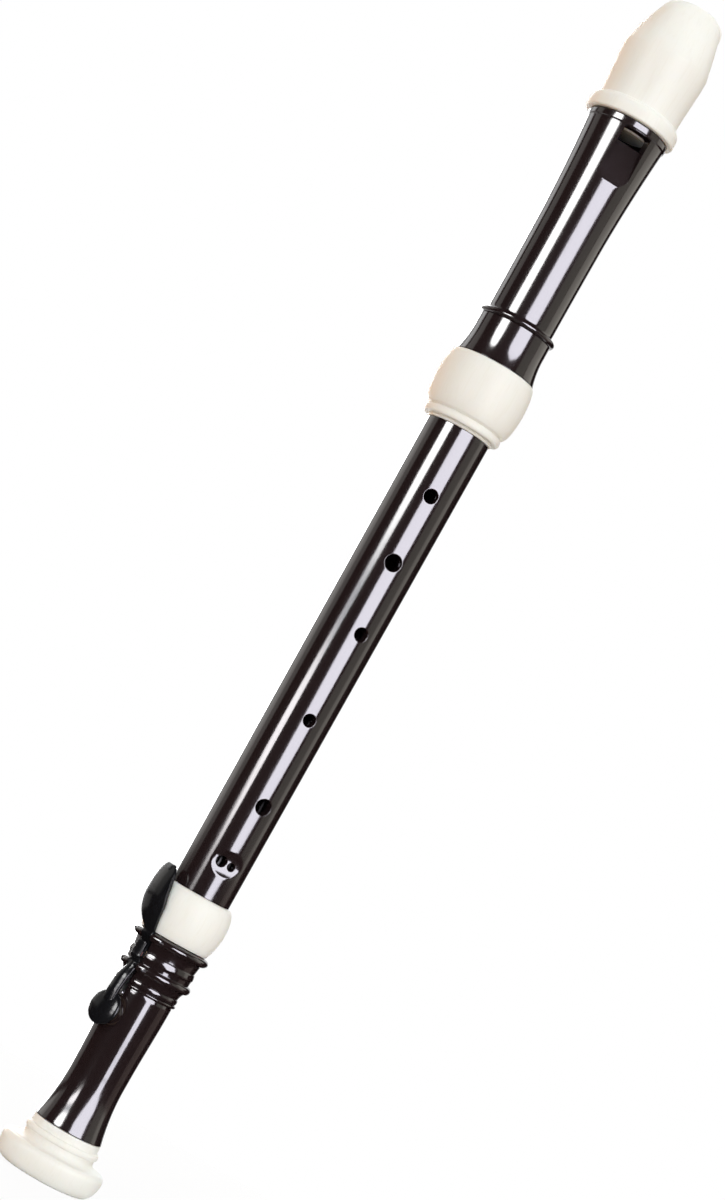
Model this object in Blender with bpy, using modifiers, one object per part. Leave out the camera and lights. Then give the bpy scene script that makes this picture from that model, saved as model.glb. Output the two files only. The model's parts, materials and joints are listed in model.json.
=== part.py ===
"""Tenor recorder in three joints, with a jointed key for the lowest hole.

It stands on the end face of its foot. The origin is the centre of that face, +Z runs up
the bore to the beak, the finger holes face -Y and the key is on the -X side.
Lengths are metres and angles are degrees.
"""

import math

import bmesh
import bpy
from mathutils import Matrix, Vector

# Fits
GAP = 0.0003                    # between pieces that are pressed, glued or laid together
PIN_PLAY = 0.00006              # around a pin that a lever turns on
SOCKET_PLAY = 0.0005            # between a tenon and its socket, which the seals fill
SEAL_PLAY = 0.0003              # between a seal and its groove or its socket

# Lengths along the bore, from the foot's end to the beak's tip
BELL_RING_H = 0.0257
FOOT_BODY_H = 0.1026
FOOT_RING_H = 0.0257
MIDDLE_BODY_H = 0.2535
HEAD_RING_H = 0.0345
HEAD_BODY_H = 0.1320
CAP_H = 0.0630

# Bore
FOOT_BORE_R = 0.0084
MIDDLE_BORE_LOW_R = 0.0088
MIDDLE_BORE_TOP_R = 0.0118
HEAD_BORE_R = 0.0126

# Bell ring
BELL_FACE_R = 0.0210
BELL_R = 0.0269
BELL_MAX_Z = 0.0100
BELL_EDGE_IN = 0.0030           # rounded edge above the widest line
BELL_EDGE_H = 0.0036
BELL_COVE_R = 0.0184
BELL_COVE_Z = 0.0168
BELL_BEAD_PROUD = 0.0009
BELL_BEAD_H = 0.0032
BELL_BEAD_LAND = 0.0042         # from the bead up to the foot's body
BELL_SPIGOT_WALL = 0.0046       # of the foot's end, inside the ring

# Foot body
FOOT_FLARE_R = 0.0176
FOOT_FLARE_H = 0.0310
FOOT_HOLLOW = 0.0010            # how far the flare's side is drawn in
FOOT_WAIST_WALL = 0.0059
FOOT_NECK_STEP = 0.0014         # from the waist out to the neck
FINE_BEAD_PROUD = 0.0007
FINE_BEAD_H = 0.0018
FINE_BEAD_DROP = 0.0073         # its centre below the lower key bead
CHANNEL_STEP = 0.0012           # from the neck out to the body between the key's beads
FOOT_SOCKET_WALL = 0.0019       # of the tube, inside the foot ring
LIP_H = 0.0015                  # a ring's lip over the end of its tube

# Foot ring: thickness over its own bore
FOOT_RING_LOW_T = 0.0023
FOOT_RING_T = 0.0052
FOOT_RING_TOP_T = 0.0011
FOOT_RING_MAX_H = 0.0142
FOOT_RING_BULGE = 0.0007

# Middle joint
LOW_TENON_WALL = 0.0037
TOP_TENON_WALL = 0.0029
LOW_SHOULDER = 0.0031           # from a tenon out to the body
TOP_SHOULDER = 0.0017
LOW_TENON_H = 0.0236
TOP_TENON_H = 0.0278
LOW_TENON_CLEAR = 0.0020        # from a tenon's end to the floor of its socket
TOP_TENON_CLEAR = 0.0014
TENON_CHAMFER = 0.0006
SEAL_R = 0.0007                 # half the thickness of a seal
SEAL_PROUD = 0.0002             # how far a seal stands out of its tenon
SEAL_SPACING = 0.0110

# Holes of the middle joint: below its top or above its foot, degrees towards +X, diameter
UPPER_HOLES = {
    "thumb": (0.0175, 180.0, 0.0065),
    "first": (0.0353, -3.0, 0.0070),
    "second": (0.0715, -3.5, 0.0083),
    "third": (0.1086, 9.5, 0.0069),
}
LOWER_HOLES = {
    "fourth": (0.0975, 3.5, 0.0063),
    "fifth": (0.0510, 8.0, 0.0079),
    "sixth": (0.0192, -9.5, 0.0054),
    "sixth_half": (0.0187, 11.5, 0.0038),
}
DISH_LENGTH = 0.0140            # hollow round the double hole
DISH_HEIGHT = 0.0096
DISH_DEPTH = 0.0011
DISH_ANGLE = 1.0
DISH_TOOL_DEPTH = 0.0060        # half the depth of the rounded tool that hollows it

# Head ring: thickness over its own bore
HEAD_RIM_T = 0.0020
HEAD_RIM_EDGE = 0.0006
HEAD_RIM_H = 0.0016
HEAD_BEAD_T = 0.0020
HEAD_BEAD_ROOT_T = 0.0010
HEAD_BEAD_H = 0.0038
HEAD_BEAD_LAND = 0.0007
BULB_LOW_T = 0.0017
BULB_T = 0.0052
BULB_MAX_H = 0.0208
BULB_TOP_T = 0.0029
BULB_SWELL = 0.0006

# Head
HEAD_SOCKET_WALL = 0.0028       # of the tube, inside the head ring
SHOULDER_T = 0.0030             # how far the head steps out over its ring
SHOULDER_H = 0.0130
NECK_STEP = 0.0015              # from the head's straight side out to its neck
NECK_BEAD_ROOT = 0.0009
NECK_BEAD_PROUD = 0.0014
NECK_BEAD_H = 0.0034
NECK_BEAD_Z = 0.0227
NECK_BEAD_FOOT = 0.0016
HEAD_WALL = 0.0047
HEAD_STRAIGHT_H = 0.0530
HEAD_TAPER = 0.0003
HEAD_TOP_STEP = 0.0031
HEAD_HOLLOW = 0.0004
COLLAR_PROUD = 0.0005
COLLAR_EDGE = 0.0004
COLLAR_H = 0.0035
CAP_SPIGOT_WALL = 0.0039
CAP_SPIGOT_H = 0.0276

# Window and windway
WINDOW_W = 0.0145
WINDOW_H = 0.0067
RAMP_H = 0.0223
LABIUM_T = 0.0005
WINDWAY_W = 0.0130
WINDWAY_H = 0.0014
BLOCK_EXIT_DROP = 0.0037        # the block ends this far below the cap

# Beak cap
FLANGE_PROUD = 0.0029
FLANGE_H = 0.0078
FLANGE_EDGE = 0.0010
CAP_WALL = 0.0038               # over the head's spigot
CAP_SWELL = 0.0014
CAP_ROUND_H = 0.0370            # round up to here, and a beak above
BEAK_ROOF_T = 0.0016            # over the windway, at the tip
BEAK_TIP_T = 0.0054
BEAK_TIP_HALF_W = 0.0150
BEAK_CORNER = 0.0058
BEAK_CUT_START = 0.0015         # the slanted cut begins this far above the round part

# Key
KEY_ANGLE = 57.0                # from the front towards -X
TOUCH_PRESS = 4.7               # how far the touch goes in
CUP_PER_TOUCH = 1.492           # the cup's turn for each degree of the touch's
BEAD_SPAN = 0.0157              # between the two beads that carry the key
BEAD_H = 0.0042
BEAD_LAND = 0.0003              # flat between the upper bead and the foot ring
TOUCH_BEAD_PROUD = 0.0033
CUP_BEAD_PROUD = 0.0021
TOUCH_PIN_DEPTH = 0.0026        # a pin's centre below the top of its bead
CUP_PIN_DEPTH = 0.0019
PIN_SET_BACK = 0.0009           # of a pin's ends from the bead's surface
PIN_R = 0.00075
LUG_R = 0.0017
LUG_CLEAR = 0.00035             # under the cup lever's lug
LEVER_W = 0.0060
SLOT_PLAY = 0.0004
CORK_T = 0.0006
FELT_T = 0.0005
LEAF_T = 0.0003
FINGER_T = 0.0015               # thickness of each lever where they meet
LINK_H = 0.0022                 # height of the felt between them
TOUCH_T = 0.0020
TOUCH_CLEAR = 0.0004            # between the pressed touch and the foot ring
TOUCH_OVER_RING = 0.0067        # how far the touch reaches above the foot ring
TOUCH_CURL = 0.0018
CUP_REACH = 0.0242              # from the cup's pin to the tone hole
CUP_R = 0.0090
CUP_WALL = 0.0010
CUP_DOME_H = 0.0018
CUP_RIM_H = 0.0007              # the open rim, above the tone hole's seat
ARM_W = 0.0068
ARM_T = 0.0025
PAD_T = 0.0016
PAD_CLEAR = 0.0001
TONE_HOLE_R = 0.0044
CHIMNEY_WALL = 0.0020
CHIMNEY_H = 0.0019              # the seat above the foot's waist
SPRING_W = 0.0030
SPRING_CLEAR = 0.0021           # between the tone hole's seat and the spring's screw
SPRING_BED = 0.0004             # depth of its groove at the waist
SCREW_R = 0.0007
SCREW_HEAD_R = 0.0013
SCREW_HEAD_H = 0.0008
SCREW_L = 0.0024
SCREW_SLOT = 0.0004

# Facets
TURN_STEPS = 32
SMALL_STEPS = 16
HOLE_STEPS = 20
CUP_STEPS = 24
SEAL_STEPS = 24
SEAL_SIDES = 6
CLEAN_CUT = 0.002               # how far a cutter runs past what it cuts

# Heights that follow from the lengths
BELL_TOP = BELL_RING_H
FOOT_RING_Z = BELL_TOP + FOOT_BODY_H
FOOT_TOP = FOOT_RING_Z + FOOT_RING_H
MIDDLE_TOP = FOOT_TOP + MIDDLE_BODY_H
HEAD_RING_TOP = MIDDLE_TOP + HEAD_RING_H
CAP_Z = HEAD_RING_TOP + HEAD_BODY_H
TIP_Z = CAP_Z + CAP_H
WINDOW_TOP = CAP_Z - BLOCK_EXIT_DROP
WINDOW_LOW = WINDOW_TOP - WINDOW_H
TOUCH_PIN_Z = FOOT_RING_Z - BEAD_LAND - BEAD_H / 2
CUP_PIN_Z = TOUCH_PIN_Z - BEAD_SPAN
TONE_HOLE_Z = CUP_PIN_Z - CUP_REACH
SPRING_SCREW_Z = TONE_HOLE_Z + TONE_HOLE_R + CHIMNEY_WALL + SPRING_CLEAR + SCREW_HEAD_R

# The levers meet where their turns move them equally far
LINK_Z = TOUCH_PIN_Z - BEAD_SPAN * CUP_PER_TOUCH / (1 + CUP_PER_TOUCH)
CUP_PRESS = TOUCH_PRESS * CUP_PER_TOUCH

# Radii that follow from the bore and the walls
LOW_TENON_R = MIDDLE_BORE_LOW_R + LOW_TENON_WALL
TOP_TENON_R = MIDDLE_BORE_TOP_R + TOP_TENON_WALL
MIDDLE_LOW_R = LOW_TENON_R + LOW_SHOULDER
MIDDLE_TOP_R = TOP_TENON_R + TOP_SHOULDER
FOOT_SOCKET_R = LOW_TENON_R + SOCKET_PLAY
HEAD_SOCKET_R = TOP_TENON_R + SOCKET_PLAY
BELL_SPIGOT_R = FOOT_BORE_R + BELL_SPIGOT_WALL
FOOT_WAIST_R = FOOT_BORE_R + FOOT_WAIST_WALL
FOOT_NECK_R = FOOT_WAIST_R + FOOT_NECK_STEP
CHANNEL_ROOT_R = FOOT_NECK_R + CHANNEL_STEP
FOOT_WALL_R = FOOT_SOCKET_R + FOOT_SOCKET_WALL
FOOT_RING_BORE = FOOT_WALL_R + GAP
FOOT_RING_R = FOOT_RING_BORE + FOOT_RING_T
HEAD_WALL_R = HEAD_SOCKET_R + HEAD_SOCKET_WALL
HEAD_RING_BORE = HEAD_WALL_R + GAP
BULB_R = HEAD_RING_BORE + BULB_T
HEAD_R = HEAD_BORE_R + HEAD_WALL
NECK_R = HEAD_R + NECK_STEP
HEAD_TOP_R = HEAD_R + HEAD_TOP_STEP
COLLAR_R = HEAD_TOP_R + COLLAR_PROUD
CAP_SPIGOT_R = HEAD_BORE_R + CAP_SPIGOT_WALL
CAP_WAIST_R = CAP_SPIGOT_R + GAP + CAP_WALL
CAP_R = CAP_WAIST_R + CAP_SWELL
FLANGE_R = CAP_WAIST_R + FLANGE_PROUD
BEAK_FRONT_TIP = HEAD_BORE_R + WINDWAY_H + BEAK_ROOF_T

# Distances from the bore's axis to the key's pieces
TOUCH_BEAD_R = CHANNEL_ROOT_R + TOUCH_BEAD_PROUD
CUP_BEAD_R = CHANNEL_ROOT_R + CUP_BEAD_PROUD
TOUCH_PIN_RHO = TOUCH_BEAD_R - TOUCH_PIN_DEPTH
CUP_PIN_RHO = CUP_BEAD_R - CUP_PIN_DEPTH
CHANNEL_RHO = CUP_PIN_RHO - LUG_R - LUG_CLEAR
CHIMNEY_RHO = FOOT_WAIST_R + CHIMNEY_H
SPRING_FLOOR_RHO = FOOT_WAIST_R - SPRING_BED


def steps(start, stop, parts):
    """Evenly spaced values from start to stop, both included."""
    return [start + (stop - start) * i / parts for i in range(parts + 1)]


def bead(z, height, root, crest, parts=5):
    """Half-round bead centred at z, as (radius, z) going up."""
    return [(root + (crest - root) * math.sin(t), z - height / 2 * math.cos(t))
            for t in steps(0, math.pi, parts)]


def bow(low, high, bulge=0.0, parts=4):
    """Shallow curve between two (radius, z) points, swollen outwards by bulge."""
    return [(low[0] + (high[0] - low[0]) * s + 4 * bulge * s * (1 - s), low[1] + (high[1] - low[1]) * s)
            for s in steps(0, 1, parts)]


def quarter(low, high, flat_first, parts=4):
    """Quarter of an ellipse between two (radius, z) points, level at its low end if flat_first."""
    points = []
    for t in steps(0, math.pi / 2, parts):
        across, up = (math.sin(t), 1 - math.cos(t)) if flat_first else (1 - math.cos(t), math.sin(t))
        points.append((low[0] + (high[0] - low[0]) * across, low[1] + (high[1] - low[1]) * up))
    return points


def ease(low, high, parts=5):
    """S curve between two (radius, z) points, upright at both ends."""
    return [(low[0] + (high[0] - low[0]) * (1 - math.cos(math.pi * s)) / 2, low[1] + (high[1] - low[1]) * s)
            for s in steps(0, 1, parts)]


def radius_at(outline, z):
    """Radius of an outline that runs upwards, at height z."""
    for (r_low, z_low), (r_high, z_high) in zip(outline, outline[1:]):
        if z_low <= z <= z_high and z_high > z_low:
            return r_low + (r_high - r_low) * (z - z_low) / (z_high - z_low)
    return outline[0][0] if z < outline[0][1] else outline[-1][0]


def through(points, parts):
    """Smooth curve through tuples of numbers, with so many parts between neighbours."""
    ends = [points[0], *points, points[-1]]
    curve = []
    for a, b, c, d in zip(ends, ends[1:], ends[2:], ends[3:]):
        for t in steps(0, 1, parts)[:-1]:
            curve.append(tuple(
                q + 0.5 * t * (r - p + t * (2 * p - 5 * q + 4 * r - s + t * (3 * q - p - 3 * r + s)))
                for p, q, r, s in zip(a, b, c, d)))
    return [*curve, points[-1]]


def material(name, colour, roughness, metallic=0.0, coat=0.0):
    """Principled material of one plain colour."""
    made = bpy.data.materials.new(name)
    made.use_nodes = True
    made.diffuse_color = (*colour, 1)
    shader = made.node_tree.nodes["Principled BSDF"]
    shader.inputs["Base Color"].default_value = (*colour, 1)
    shader.inputs["Roughness"].default_value = roughness
    shader.inputs["Metallic"].default_value = metallic
    shader.inputs["Coat Weight"].default_value = coat
    return made


def new_object(name, mesh, collection, finish=None):
    """Object in a collection, with its own copy of a finish."""
    made = bpy.data.objects.new(name, mesh)
    collection.objects.link(made)
    if finish:
        own = finish.copy()
        own.name = f"{name}_finish"
        mesh.materials.append(own)
    return made


def turned(name, outline, collection, finish=None, facets=TURN_STEPS):
    """Outline of (radius, z) turned about Z. It runs down its outer side and up its inner side."""
    count = len(outline)
    closed = outline[0][0] > 0
    mesh = bpy.data.meshes.new(name)
    edges = [(i, (i + 1) % count) for i in range(count if closed else count - 1)]
    mesh.from_pydata([(r, 0, z) for r, z in outline], edges, [])
    made = new_object(name, mesh, collection, finish)
    screw = made.modifiers.new("Turn", "SCREW")
    screw.steps = screw.render_steps = facets
    screw.use_merge_vertices = True
    screw.merge_threshold = 0.00001
    return made


def tube_outline(outer, inner):
    """Closed outline of a tube from its outer and inner sides, both given going up."""
    return [*reversed(outer), *inner]


def plug_outline(side):
    """Outline of a solid turned piece from its side, given going up."""
    return [(0, side[-1][1]), *reversed(side), (0, side[0][1])]


def lofted(name, sections, collection, finish=None):
    """Closed body through sections of equally many points, each anticlockwise from above."""
    shape = bmesh.new()
    rows = [[shape.verts.new(point) for point in section] for section in sections]
    count = len(rows[0])
    for low, high in zip(rows, rows[1:]):
        for i in range(count):
            j = (i + 1) % count
            shape.faces.new((low[i], low[j], high[j], high[i]))
    shape.faces.new(reversed(rows[0]))
    shape.faces.new(rows[-1])
    mesh = bpy.data.meshes.new(name)
    shape.to_mesh(mesh)
    shape.free()
    mesh.shade_smooth()
    mesh.set_sharp_from_angle(angle=math.radians(40))
    return new_object(name, mesh, collection, finish)


def ring_slice(z, start, end, inner, outer, parts=5):
    """Section of a curved bar: a slice of a ring between two angles from -Y towards -X."""
    def point(angle, radius):
        return -radius * math.sin(math.radians(angle)), -radius * math.cos(math.radians(angle)), z
    angles = steps(start, end, parts)
    return [point(a, inner) for a in angles] + [point(a, outer) for a in reversed(angles)]


def flat_slice(z, width, inner, outer):
    """Section of a straight bar in front of the axis, between two distances from it."""
    half = width / 2
    return [(half, -inner, z), (-half, -inner, z), (-half, -outer, z), (half, -outer, z)]


def box(name, low, high, collection, finish=None):
    """Box between two corners."""
    shape = bmesh.new()
    bmesh.ops.create_cube(shape, size=1)
    size = [h - l for l, h in zip(low, high)]
    middle = [(l + h) / 2 for l, h in zip(low, high)]
    place = Matrix.Translation(middle) @ Matrix.Diagonal((*size, 1))
    bmesh.ops.transform(shape, matrix=place, verts=shape.verts)
    mesh = bpy.data.meshes.new(name)
    shape.to_mesh(mesh)
    shape.free()
    return new_object(name, mesh, collection, finish)


def rod(name, start, end, radius, collection, finish=None, facets=SMALL_STEPS):
    """Cylinder between two points."""
    start, end = Vector(start), Vector(end)
    turn = (end - start).to_track_quat("Z", "X").to_matrix().to_4x4()
    shape = bmesh.new()
    bmesh.ops.create_cone(shape, cap_ends=True, segments=facets, radius1=radius, radius2=radius,
                          depth=(end - start).length, matrix=Matrix.Translation((start + end) / 2) @ turn)
    mesh = bpy.data.meshes.new(name)
    shape.to_mesh(mesh)
    shape.free()
    return new_object(name, mesh, collection, finish)


def outline_prism(name, points, half_width, collection):
    """Flat outline of (y, z) points, thickened along X."""
    curve = bpy.data.curves.new(name, "CURVE")
    curve.dimensions = "2D"
    curve.fill_mode = "BOTH"
    curve.extrude = half_width
    spline = curve.splines.new("POLY")
    spline.points.add(len(points) - 1)
    for point, (y, z) in zip(spline.points, points):
        point.co = (y, z, 0, 1)
    spline.use_cyclic_u = True
    drawn = bpy.data.objects.new(name, curve)
    collection.objects.link(drawn)
    bpy.context.view_layer.update()
    mesh = bpy.data.meshes.new_from_object(drawn.evaluated_get(bpy.context.evaluated_depsgraph_get()))
    bpy.data.objects.remove(drawn)
    shape = bmesh.new()
    shape.from_mesh(mesh)
    bmesh.ops.remove_doubles(shape, verts=shape.verts, dist=0.000001)
    bmesh.ops.recalc_face_normals(shape, faces=shape.faces)
    shape.to_mesh(mesh)
    shape.free()
    mesh.transform(Matrix(((0, 0, 1, 0), (1, 0, 0, 0), (0, 1, 0, 0), (0, 0, 0, 1))))
    return new_object(name, mesh, collection)


def combine(target, tool, operation):
    """Boolean of a part with a tool, which is only drawn as a wire."""
    tool.hide_render = True
    tool.display_type = "WIRE"
    modifier = target.modifiers.new(tool.name, "BOOLEAN")
    modifier.operation = operation
    modifier.object = tool


def cut(target, *tools):
    """Take tools away from a part."""
    for tool in tools:
        combine(target, tool, "DIFFERENCE")


def fuse(target, *tools):
    """Join tools to a part."""
    for tool in tools:
        combine(target, tool, "UNION")


def facing(angle):
    """Turn about Z that takes the front, -Y, this far towards -X."""
    return Matrix.Rotation(-math.radians(angle), 4, "Z")


def empty(name, matrix, collection, parent=None):
    """Empty that pieces are parented to."""
    made = bpy.data.objects.new(name, None)
    made.empty_display_size = 0.01
    collection.objects.link(made)
    made.parent = parent
    made.matrix_local = matrix
    return made


def hang(piece, parent, pivot=(0, 0, 0)):
    """Parent a piece, drawn in the frame round the bore, to an empty at a pivot."""
    piece.parent = parent
    piece.location = -Vector(pivot)


def drill(name, angle, z, radius, from_rho, to_rho, collection):
    """Cutter for a hole square to the bore, at an angle from the front towards -X."""
    made = rod(name, (0, -from_rho, z), (0, -to_rho, z), radius, collection, facets=HOLE_STEPS)
    made.data.transform(facing(angle))
    return made


def foot_ring_side():
    """Outer side of the foot ring, going up."""
    low = (FOOT_RING_BORE + FOOT_RING_LOW_T, FOOT_RING_Z + GAP)
    widest = (FOOT_RING_R, FOOT_RING_Z + FOOT_RING_MAX_H)
    top = (FOOT_RING_BORE + FOOT_RING_TOP_T, FOOT_TOP)
    return [*bow(low, widest, FOOT_RING_BULGE, 4), *quarter(widest, top, False, 5)[1:]]


def bell_ring(parts, finish):
    """Bell ring at the foot's end, with the flat face that the recorder stands on."""
    shoulder = (BELL_R - BELL_EDGE_IN, BELL_MAX_Z + BELL_EDGE_H)
    bead_z = BELL_TOP - BELL_BEAD_LAND - BELL_BEAD_H / 2
    outer = [*quarter((BELL_FACE_R, 0), (BELL_R, BELL_MAX_Z), True, 5),
             *quarter((BELL_R, BELL_MAX_Z), shoulder, False, 2)[1:],
             *quarter(shoulder, (BELL_COVE_R, BELL_COVE_Z), True, 3)[1:],
             *bead(bead_z, BELL_BEAD_H, BELL_COVE_R, BELL_COVE_R + BELL_BEAD_PROUD, 4),
             (FOOT_FLARE_R, BELL_TOP)]
    bore = BELL_SPIGOT_R + GAP
    turned("foot_bell_ring", tube_outline(outer, [(bore, 0), (bore, BELL_TOP)]), parts, finish)


def foot_side():
    """Outer side of the foot between its two rings, going up."""
    body = BELL_TOP + GAP
    bead_low = CUP_PIN_Z - BEAD_H / 2
    fine_z = bead_low - FINE_BEAD_DROP
    fine_low, fine_top = fine_z - FINE_BEAD_H / 2, fine_z + FINE_BEAD_H / 2
    waist_low = BELL_TOP + FOOT_FLARE_H
    under_bead = FOOT_NECK_R - FINE_BEAD_PROUD
    return [*bow((FOOT_FLARE_R, body), (FOOT_WAIST_R, waist_low), -FOOT_HOLLOW, 5),
            (FOOT_WAIST_R, (waist_low + fine_low) / 2),
            (under_bead, fine_low),
            *bead(fine_z, FINE_BEAD_H, under_bead, FOOT_NECK_R + FINE_BEAD_PROUD, 3)[1:],
            (FOOT_NECK_R, fine_top),
            *quarter((FOOT_NECK_R, fine_top + FINE_BEAD_H / 2), (CHANNEL_ROOT_R, bead_low), False, 3),
            *bead(CUP_PIN_Z, BEAD_H, CHANNEL_ROOT_R, CUP_BEAD_R)[1:],
            *bead(TOUCH_PIN_Z, BEAD_H, CHANNEL_ROOT_R, TOUCH_BEAD_R),
            (CHANNEL_ROOT_R, FOOT_RING_Z)]


def foot_tube(parts, tools, finish, key_side):
    """Foot: bore, socket for the middle joint, and the two beads that carry the key."""
    wall_top = FOOT_TOP - LIP_H - GAP
    outer = [(BELL_SPIGOT_R, GAP), (BELL_SPIGOT_R, BELL_TOP + GAP), *foot_side(), (FOOT_WALL_R, FOOT_RING_Z),
             (FOOT_WALL_R, wall_top)]
    floor = FOOT_TOP - LOW_TENON_H - LOW_TENON_CLEAR
    inner = [(FOOT_BORE_R, GAP), (FOOT_BORE_R, floor), (FOOT_SOCKET_R, floor), (FOOT_SOCKET_R, wall_top)]
    tube = turned("foot_tube", tube_outline(outer, inner), parts, finish)

    slot = LEVER_W / 2 + SLOT_PLAY
    out = TOUCH_BEAD_R + CLEAN_CUT
    groove = SPRING_W / 2 + GAP
    groove_low, groove_top = SPRING_SCREW_Z - SCREW_HEAD_R - GAP, CUP_PIN_Z - BEAD_H / 2
    pin_hole = PIN_R + PIN_PLAY
    chimney = rod("chimney", (0, -(FOOT_BORE_R + FOOT_WAIST_R) / 2, TONE_HOLE_Z),
                  (0, -CHIMNEY_RHO, TONE_HOLE_Z), TONE_HOLE_R + CHIMNEY_WALL, tools, facets=CUP_STEPS)
    fuse(tube, chimney)
    cutters = [
        box("key_channel", (-slot, -out, CUP_PIN_Z - BEAD_H), (slot, -CHANNEL_RHO, FOOT_RING_Z + GAP / 2),
            tools),
        box("spring_groove", (-groove, -out, groove_low), (groove, -SPRING_FLOOR_RHO, groove_top), tools),
        rod("tone_hole", (0, 0, TONE_HOLE_Z), (0, -out, TONE_HOLE_Z), TONE_HOLE_R, tools, facets=CUP_STEPS),
        rod("touch_pin_hole", (-out, -TOUCH_PIN_RHO, TOUCH_PIN_Z), (out, -TOUCH_PIN_RHO, TOUCH_PIN_Z),
            pin_hole, tools),
        rod("cup_pin_hole", (-out, -CUP_PIN_RHO, CUP_PIN_Z), (out, -CUP_PIN_RHO, CUP_PIN_Z), pin_hole, tools),
        rod("spring_screw_hole", (0, SCREW_L - SPRING_FLOOR_RHO, SPRING_SCREW_Z), (0, -out, SPRING_SCREW_Z),
            SCREW_R + GAP, tools),
    ]
    cut(tube, *cutters)
    for tool in (chimney, *cutters):
        hang(tool, key_side)


def foot_ring(parts, finish):
    """Ring round the foot's socket, with a lip over the end of the tube."""
    inner = [(FOOT_RING_BORE, FOOT_RING_Z + GAP), (FOOT_RING_BORE, FOOT_TOP - LIP_H),
             (FOOT_SOCKET_R, FOOT_TOP - LIP_H), (FOOT_SOCKET_R, FOOT_TOP)]
    turned("foot_socket_ring", tube_outline(foot_ring_side(), inner), parts, finish)


def seal_heights(shoulder, length):
    """Heights of a tenon's two seals; length is negative for a tenon that points down."""
    middle = shoulder + length / 2
    return middle - SEAL_SPACING / 2, middle + SEAL_SPACING / 2


def grooved(low, high, radius, seats):
    """Side of a tenon with a square groove for each seal, going up."""
    depth = radius + SEAL_PROUD - 2 * SEAL_R - SEAL_PLAY
    half = SEAL_R + SEAL_PLAY
    side = [(radius, low)]
    for seat in seats:
        side += [(radius, seat - half), (depth, seat - half), (depth, seat + half), (radius, seat + half)]
    return [*side, (radius, high)]


def seal(name, tenon_radius, z, parts, finish):
    """Rubber ring in a tenon's groove."""
    middle = tenon_radius + SEAL_PROUD - SEAL_R
    round_points = [(middle + SEAL_R * math.cos(t), z - SEAL_R * math.sin(t))
                    for t in steps(0, 2 * math.pi, SEAL_SIDES)[:-1]]
    turned(name, round_points, parts, finish, facets=SEAL_STEPS)


def double_hole_dish(surface, z, collection):
    """Rounded tool for the hollow round the double hole, which it leaves in a surface at that radius."""
    dish = bmesh.new()
    bmesh.ops.create_uvsphere(dish, u_segments=20, v_segments=10, radius=1)
    grow = 1 / math.sqrt(1 - (1 - DISH_DEPTH / DISH_TOOL_DEPTH) ** 2)
    size = (DISH_LENGTH / 2 * grow, DISH_TOOL_DEPTH, DISH_HEIGHT / 2 * grow, 1)
    place = facing(-DISH_ANGLE) @ Matrix.Translation((0, DISH_DEPTH - surface - DISH_TOOL_DEPTH, z))
    bmesh.ops.transform(dish, matrix=place @ Matrix.Diagonal(size), verts=dish.verts)
    mesh = bpy.data.meshes.new("double_hole_dish")
    dish.to_mesh(mesh)
    dish.free()
    return new_object("double_hole_dish", mesh, collection)


def middle_tube(parts, tools, finish):
    """Middle joint: a tapering bore, two tenons and the finger holes."""
    low, top = FOOT_TOP + GAP, MIDDLE_TOP - GAP
    low_end, top_end = low - LOW_TENON_H, top + TOP_TENON_H
    side = [(MIDDLE_LOW_R, low), (MIDDLE_TOP_R, top)]
    outer = [(LOW_TENON_R - TENON_CHAMFER, low_end),
             *grooved(low_end + TENON_CHAMFER, low, LOW_TENON_R, seal_heights(low, -LOW_TENON_H)),
             *side,
             *grooved(top, top_end - TENON_CHAMFER, TOP_TENON_R, seal_heights(top, TOP_TENON_H)),
             (TOP_TENON_R - TENON_CHAMFER, top_end)]
    inner = [(MIDDLE_BORE_LOW_R, low_end), (MIDDLE_BORE_TOP_R, top_end)]
    tube = turned("middle_tube", tube_outline(outer, inner), parts, finish)

    dish_z = FOOT_TOP + (LOWER_HOLES["sixth"][0] + LOWER_HOLES["sixth_half"][0]) / 2
    cut(tube, double_hole_dish(radius_at(side, dish_z), dish_z, tools))
    holes = {name: (MIDDLE_TOP - drop, *rest) for name, (drop, *rest) in UPPER_HOLES.items()}
    holes.update({name: (FOOT_TOP + rise, *rest) for name, (rise, *rest) in LOWER_HOLES.items()})
    inside, outside = MIDDLE_BORE_LOW_R / 2, MIDDLE_TOP_R + CLEAN_CUT
    for name, (z, angle, diameter) in holes.items():
        cut(tube, drill(f"{name}_hole", -angle, z, diameter / 2, inside, outside, tools))


def head_ring(parts, finish):
    """Bulb round the head's socket, with a bead and a rim below it."""
    rim = HEAD_SOCKET_R + HEAD_RIM_T
    bead_z = MIDDLE_TOP + HEAD_RIM_H + HEAD_BEAD_H / 2
    bulb_low = MIDDLE_TOP + HEAD_RIM_H + HEAD_BEAD_H + HEAD_BEAD_LAND
    widest = (BULB_R, MIDDLE_TOP + BULB_MAX_H)
    outer = [*bead(MIDDLE_TOP + HEAD_RIM_H / 2, HEAD_RIM_H, rim - HEAD_RIM_EDGE, rim, 2),
             *bead(bead_z, HEAD_BEAD_H, HEAD_RING_BORE + HEAD_BEAD_ROOT_T, HEAD_RING_BORE + HEAD_BEAD_T, 4),
             *quarter((HEAD_RING_BORE + BULB_LOW_T, bulb_low), widest, False, 5),
             *bow(widest, (HEAD_RING_BORE + BULB_TOP_T, HEAD_RING_TOP), BULB_SWELL, 4)[1:]]
    inner = [(HEAD_SOCKET_R, MIDDLE_TOP), (HEAD_SOCKET_R, MIDDLE_TOP + LIP_H),
             (HEAD_RING_BORE, MIDDLE_TOP + LIP_H), (HEAD_RING_BORE, HEAD_RING_TOP)]
    turned("head_socket_ring", tube_outline(outer, inner), parts, finish)


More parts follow.
